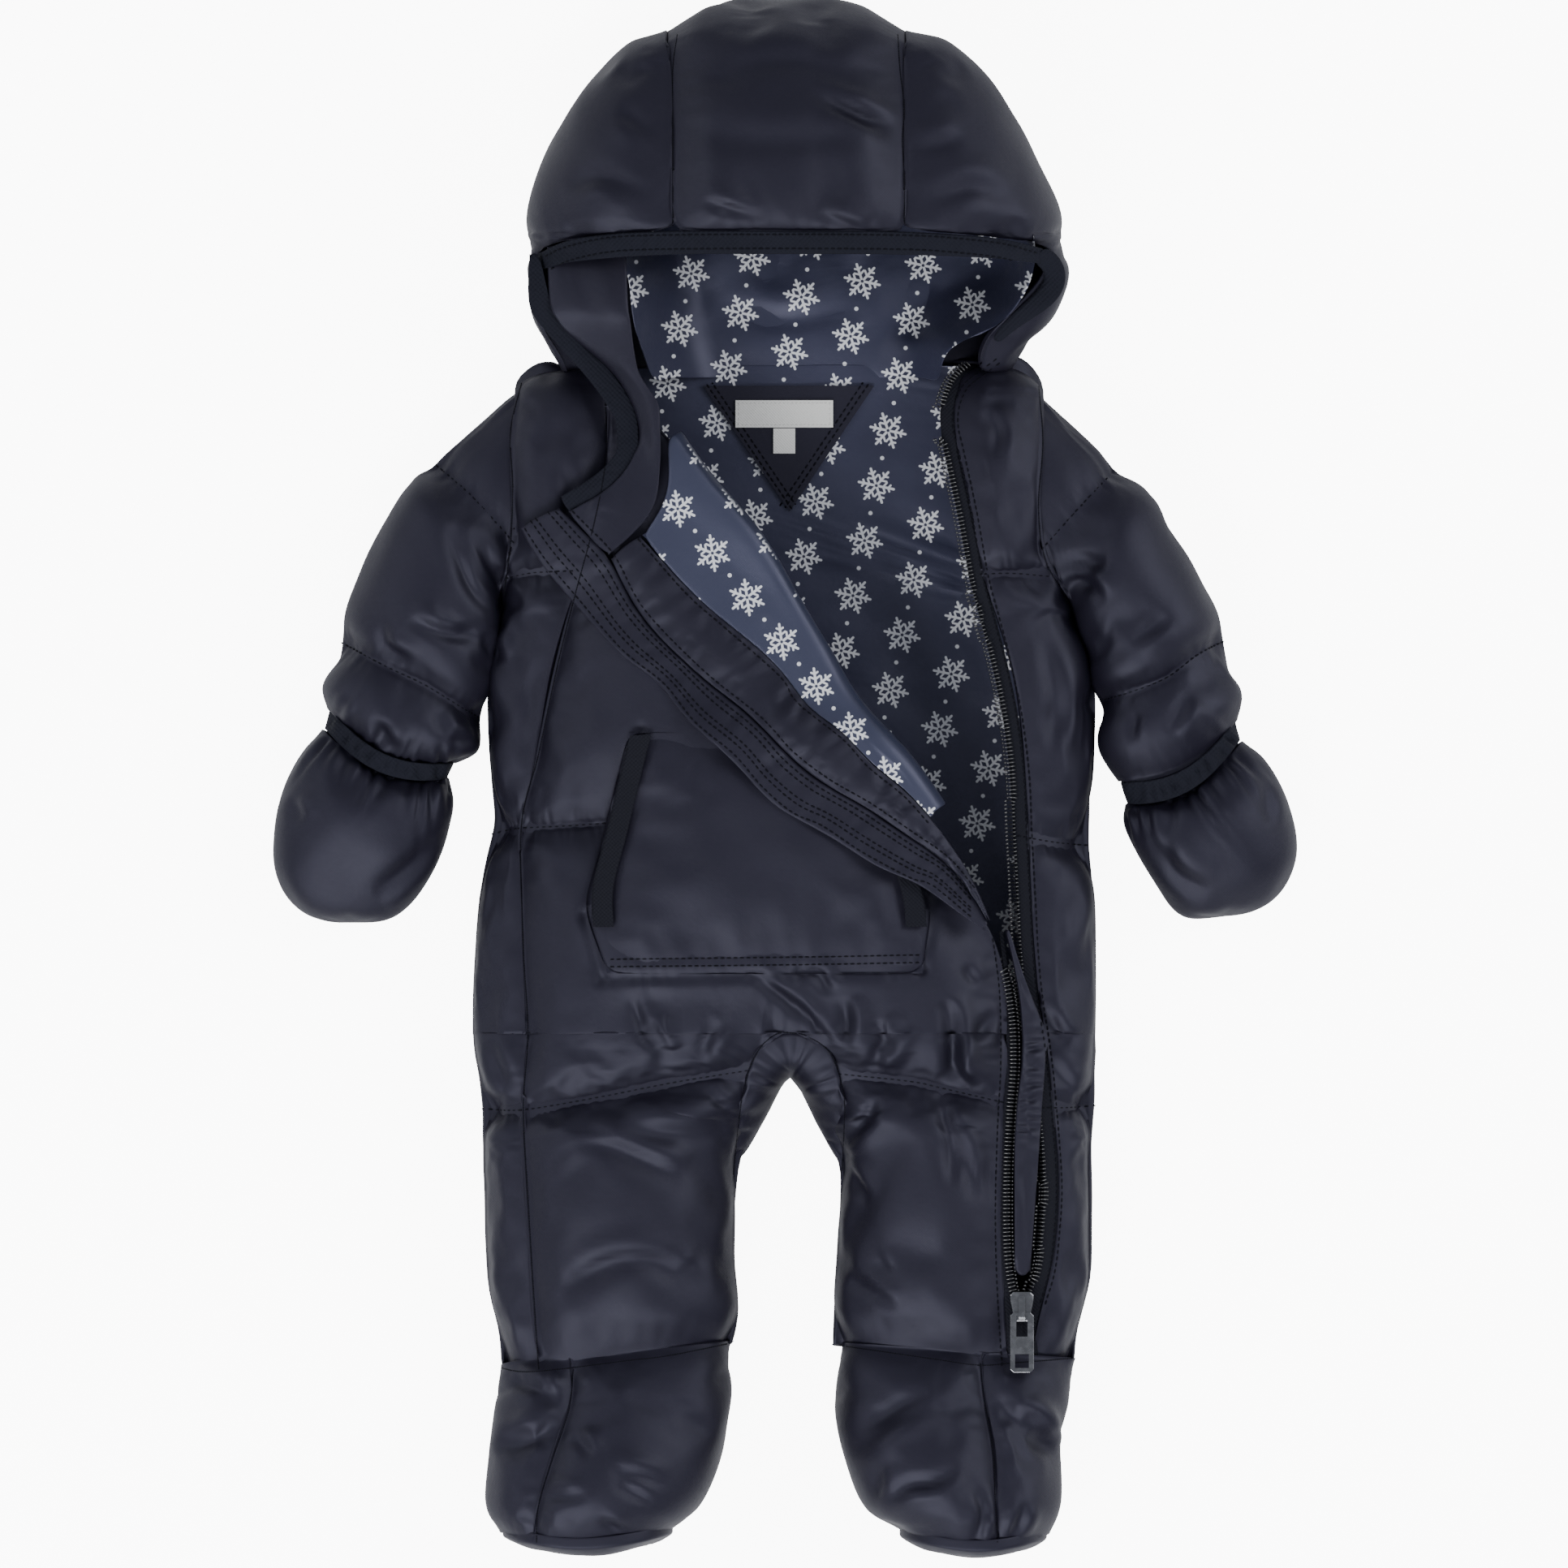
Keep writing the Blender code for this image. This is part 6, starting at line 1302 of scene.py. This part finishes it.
def ribbon(name, rows):
    """A closed strip along rows of (plan place, half-width, height), in millimetres."""
    places = np.array([place for place, _, _ in rows], float)
    run = np.gradient(places, axis=0)
    run /= np.linalg.norm(run, axis=1, keepdims=True)
    across = np.column_stack([-run[:, 1], run[:, 0]])
    points, faces, size = [], [], len(SECTION)
    for (place, half, height), place_across in zip(rows, across):
        for side, up in SECTION:
            x, y = np.array(place) + place_across * side * half - MIDDLE
            points.append((x * MM, y * MM, (height + up) * MM))
    for k in range(len(rows) - 1):
        for j in range(size):
            a, b = k * size + j, k * size + (j + 1) % size
            faces.append((a, b, b + size, a + size))
    faces += [tuple(range(size)), tuple(range(len(points) - size, len(points)))]
    mesh = bpy.data.meshes.new(name)
    mesh.from_pydata(points, [], faces)
    skin = bmesh.new()
    skin.from_mesh(mesh)
    bmesh.ops.recalc_face_normals(skin, faces=skin.faces)
    skin.to_mesh(mesh)
    skin.free()
    piece = add_object(name, mesh)
    subdivide(piece, 3)
    piece.data.materials.append(KNIT)
    piece.data.shade_smooth()
    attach(piece, "suit")
    return piece


brim_return = ribbon("brim_return", RETURN_LINE)

# %% [markdown]
# ## Stitches and zip teeth lie on the cloth
# Stitches and teeth follow lines in plan, and have to lie on the finished cloth with all its
# puckers. So a ray is sent straight down at every point of a line. It finds the place on the
# cloth, and the cloth's direction there is kept as "up". A line is broken where nothing lies below
# it, and where it would jump from one layer to another.

# %% Look down on the finished cloth
LOOK_FROM = 0.2              # m above the floor
LAYER_JUMP = 4 * MM
SHORTEST_RUN = 4             # points


def lookdown(nodes):
    """A tree of the named pieces' faces, for finding what a line in plan lies on."""
    points, faces, first = [], [], 0
    for node in nodes:
        mesh = made_pieces[node].data
        own, _ = read_points(mesh)
        points.append(own * MM)
        faces += [tuple(first + index for index in face.vertices) for face in mesh.polygons]
        first += len(own)
    return BVHTree.FromPolygons([tuple(point) for point in np.concatenate(points)], faces)


def lay_lines(tree, lines, lift):
    """Lay plan lines on the cloth: runs of (place, up) pairs, broken where nothing is below."""
    runs, run = [], []
    for line in lines:
        for x, y in line:
            start = Vector(((x - MIDDLE[0]) * MM, (y - MIDDLE[1]) * MM, LOOK_FROM))
            place, up, _, _ = tree.ray_cast(start, Vector((0, 0, -1)))
            if place is None or (run and abs(place.z - run[-1][0].z) > LAYER_JUMP):
                runs.append(run)
                run = []
            if place is not None:
                run.append((place + up * lift * MM, up))
        runs.append(run)
        run = []
    return [run for run in runs if len(run) >= SHORTEST_RUN]


# %% [markdown]
# ## A tree that places beads along a path
# One small shape repeated along a path is what Geometry Nodes are for. The tree places a bead
# every pitch, turns it along the path and up from the cloth, varies its size a little from a fixed
# seed, and makes real faces of it all. A bead has 24 faces only, because there are thousands.

# %% Beads along a path
BEAD_SIDES, BEAD_RINGS = 6, 4
BEAD_SEED = 7


def beads_tree():
    tree, given, made = new_group(
        "beads_along_a_path",
        [("Geometry", "NodeSocketGeometry", None), ("Pitch", "NodeSocketFloat", 0.003),
         ("Size", "NodeSocketVector", None), ("Jitter", "NodeSocketFloat", 0.1),
         ("Finish", "NodeSocketMaterial", None)],
        [("Geometry", "NodeSocketGeometry")], "GeometryNodeTree")
    path = add_node(tree, "GeometryNodeMeshToCurve", [("Mesh", given["Geometry"])])
    places = add_node(tree, "GeometryNodeCurveToPoints", [
        ("Curve", path.outputs[0]), ("Length", given["Pitch"])], mode="LENGTH")
    bead = add_node(tree, "GeometryNodeMeshUVSphere", [
        ("Segments", BEAD_SIDES), ("Rings", BEAD_RINGS), ("Radius", 0.5)])
    shaped = add_node(tree, "GeometryNodeTransform", [
        ("Geometry", bead.outputs["Mesh"]), ("Scale", given["Size"])])
    smooth = add_node(tree, "GeometryNodeSetShadeSmooth", [("Geometry", shaped.outputs[0])])
    up = add_node(tree, "GeometryNodeInputNamedAttribute", [("Name", "up")],
                  data_type="FLOAT_VECTOR")
    ahead = add_node(tree, "FunctionNodeAlignRotationToVector", [
        ("Vector", places.outputs["Tangent"])], axis="X")
    turned = add_node(tree, "FunctionNodeAlignRotationToVector", [
        ("Rotation", ahead.outputs[0]), ("Vector", up.outputs["Attribute"])],
        axis="Z", pivot_axis="X")
    low, high = (add_math(tree, part, 1.0, given["Jitter"]) for part in ("SUBTRACT", "ADD"))
    size = add_node(tree, "FunctionNodeRandomValue", [(2, low), (3, high), ("Seed", BEAD_SEED)],
                    data_type="FLOAT")
    placed = add_node(tree, "GeometryNodeInstanceOnPoints", [
        ("Points", places.outputs["Points"]), ("Instance", smooth.outputs[0]),
        ("Rotation", turned.outputs[0]), ("Scale", size.outputs[1])])
    real = add_node(tree, "GeometryNodeRealizeInstances", [("Geometry", placed.outputs[0])])
    dyed = add_node(tree, "GeometryNodeSetMaterial", [
        ("Geometry", real.outputs[0]), ("Material", given["Finish"])])
    tree.links.new(dyed.outputs[0], made["Geometry"])
    return tree


BEADS = beads_tree()


def beads_along(name, runs, pitch, size, jitter, finish):
    """One piece of beads along runs of (place, up) pairs; pitch and size in millimetres."""
    mesh = bpy.data.meshes.new(name)
    points = [place for run in runs for place, _ in run]
    ups = [up for run in runs for _, up in run]
    edges, first = [], 0
    for run in runs:
        edges += [(first + k, first + k + 1) for k in range(len(run) - 1)]
        first += len(run)
    mesh.from_pydata(points, edges, [])
    mesh.attributes.new("up", "FLOAT_VECTOR", "POINT").data.foreach_set(
        "vector", np.array(ups).ravel())
    piece = add_object(name, mesh)
    nodes = piece.modifiers.new("beads", "NODES")
    nodes.node_group = BEADS
    inputs = {item.name: item.identifier for item in BEADS.interface.items_tree
              if item.in_out == "INPUT"}
    nodes[inputs["Pitch"]] = pitch * MM
    nodes[inputs["Size"]] = tuple(length * MM for length in size)
    nodes[inputs["Jitter"]] = jitter
    nodes[inputs["Finish"]] = finish
    apply_modifiers(piece)
    if not piece.data.materials:
        piece.data.materials.append(finish)
    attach(piece, "suit")
    print(name, len(piece.data.polygons), "faces")
    return piece


# %% [markdown]
# ## Rows of stitches
# A stitch is a short length of thread lying on the cloth, so it is a bead longer than it is wide.
# Top stitches run beside the seams at a tailor's usual distances, a row of near-black beads sunk
# into each seam is painted shade for its dark line, and a pale thread holds the label all round.

# %% Lines beside other lines


def offset_line(line, by):
    """A plan line moved to its left by a distance."""
    line = np.asarray(line, float)
    run = np.gradient(line, axis=0)
    run /= np.linalg.norm(run, axis=1, keepdims=True)
    return line + by * np.column_stack([-run[:, 1], run[:, 0]])


def between(first, second, share):
    """A plan line part of the way from one line to another."""
    first, second = smooth_line(first, 2.0), smooth_line(second, 2.0)
    at = np.linspace(0, 1, max(len(first), len(second)))
    first, second = (np.column_stack([np.interp(at, np.linspace(0, 1, len(line)), line[:, k])
                                      for k in (0, 1)]) for line in (first, second))
    return first + (second - first) * share


YOKE_RIGHT, YOKE_LEFT = [(-36, 183), (2.3, 127)], [(2.3, 127), (40, 183)]
HEM_LINES = ([(-79, -84.5), (8, -83.5), (62, -82.5)], [(-79, -81), (8, -80), (62, -79)])
STITCH_ROWS = [              # line, and how far to its left the stitches run, in mm
    (GUARD_SEAM, 2.5), (LINING_SEAM, -2), (YOKE_RIGHT, 1.5), (YOKE_RIGHT, 4.0), (YOKE_LEFT, 1.5),
    (YOKE_LEFT, 4.0), (ZIP_LEFT, 8.8), (ZIP_LEFT, 6.4), (FRONT_ZIP_EDGE, -2.0), (HEM_LINES[0], 0),
    (HEM_LINES[1], 0), (BRIM_UPPER, -1.5), (BRIM_UPPER, -8.0)]
GATHER_SHARES = (0.1, 0.3, 0.42, 0.72, 0.85)     # of the guard's width, from its edge to its seam
stitch_lines = list(QUILT_LINES.values())
stitch_lines += [between(GUARD_EDGE, GUARD_SEAM, share) for share in GATHER_SHARES]
stitch_lines += [offset_line(smooth_line(line), by) for line, by in STITCH_ROWS]
print(len(stitch_lines), "rows of top stitches")

# %% Sew the rows
SEAM_LINES = (SIDE_SEAM, ARMHOLE_RIGHT, ARMHOLE_LEFT, ANKLE_RIGHT, ANKLE_LEFT, BOOT_RIGHT,
              BOOT_LEFT, HOOD_RIGHT, HOOD_LEFT, GUSSET)
LABEL_SIDES = (-20.5, 21.5)
cloth_below = lookdown([node for node in made_pieces if node not in ("neck_label", "size_tag")])
stitch_runs = lay_lines(cloth_below, stitch_lines, 0.1)
# The stitches' near black is partly thread and partly the painted shade of the grooves they lie in.
beads_along("stitches", stitch_runs, 3.0, (2.4, 0.9, 0.5), 0.08, THREAD_AND_GROOVE_SHADE)
# Painted shade: near-black beads sunk a little into each seam stand for the dark line of shade
# there, not for a thread.
seam_shade_runs = lay_lines(cloth_below, [smooth_line(line) for line in SEAM_LINES], -0.02)
beads_along("seam_shade_beads", seam_shade_runs, 1.2, (1.7, 0.75, 0.4), 0.1, THREAD_AND_GROOVE_SHADE)
label_line = smooth_line([(x, 166) for x in LABEL_SIDES])
label_rows = [label_line, label_line + (0, 10)]
label_rows += [smooth_line([(x, 166.5), (x, 175.5)]) for x in LABEL_SIDES]
label_runs = lay_lines(lookdown(["neck_label"]), label_rows, 0.05)
beads_along("label_stitches", label_runs, 1.9, (1.4, 0.4, 0.3), 0.05, PALE_THREAD)

# %% [markdown]
# ## The coil zip
# A coil zip's teeth are the turns of one nylon spiral sewn along the edge of each tape. From above
# every turn is a short shiny bar across the tape, with a round head at the opening's edge, so each
# side has a row of bars and a row of heads at the same pitch. Both rows are laid on the tape as
# one, and the heads are then shifted sideways, because no tape lies below them.

# %% Coil teeth on both tapes
TOOTH_PITCH = 1.8            # mm
TOOTH_LIFT = 0.8             # mm above the tape
BAR_SIZE = (0.95, 5.2, 1.9)  # mm
HEAD_SIZE = (1.3, 1.2, 2.2)
TEETH = [                    # side, line, and how far beside it bars and heads are, in mm
    ("left", ZIP_LEFT, 0.4, -2.2), ("right", ZIP_RIGHT, -1.2, 1.4)]
tapes_below = lookdown(["zip_tape_left", "zip_tape_right"])
for side, line, bar_by, head_by in TEETH:
    laid = lay_lines(tapes_below, [offset_line(smooth_line(line), bar_by)], TOOTH_LIFT)
    for part, by, size in (("bars", 0.0, BAR_SIZE), ("heads", head_by - bar_by, HEAD_SIZE)):
        runs = [[(place + Vector((by * MM, 0, 0)), up) for place, up in run] for run in laid]
        beads_along(f"zip_{part}_{side}", runs, TOOTH_PITCH, size, 0.03, COIL)

# %% [markdown]
# ## Slider and pull tab
# Both are cast metal with a dark nickel plate, polished by use along the edges. Their solids have
# the true shape, so they stay and only get the metal: a little cloudy, with fine scratches.

# %% Dark nickel


def nickel():
    made, tree, shader = new_material("dark_nickel")
    where = add_node(tree, "ShaderNodeTexCoord").outputs["Object"]
    cloud = add_node(tree, "ShaderNodeGroup", [("Vector", where), ("Cloud size", 350.0)],
                     node_tree=CLOUD)
    cloud.inputs["Dark"].default_value = (0.13, 0.132, 0.142, 1)
    cloud.inputs["Light"].default_value = (0.19, 0.195, 0.21, 1)
    tree.links.new(cloud.outputs["Color"], shader.inputs["Base Color"])
    shader.inputs["Metallic"].default_value = 1.0
    gloss = add_node(tree, "ShaderNodeMapRange", [
        ("Value", cloud.outputs["Rub"]), ("To Min", 0.20), ("To Max", 0.36)])
    tree.links.new(gloss.outputs[0], shader.inputs["Roughness"])
    scratch = add_node(tree, "ShaderNodeBump", [
        ("Height", cloud.outputs["Slub"]), ("Distance", 0.004 * MM)])
    tree.links.new(scratch.outputs["Normal"], shader.inputs["Normal"])
    return made


NICKEL = nickel()
for node in ("zip_slider", "pull_tab"):
    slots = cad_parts[node].material_slots
    for slot in slots:
        slot.material = NICKEL
    print(node, len(slots), "material slots in nickel")
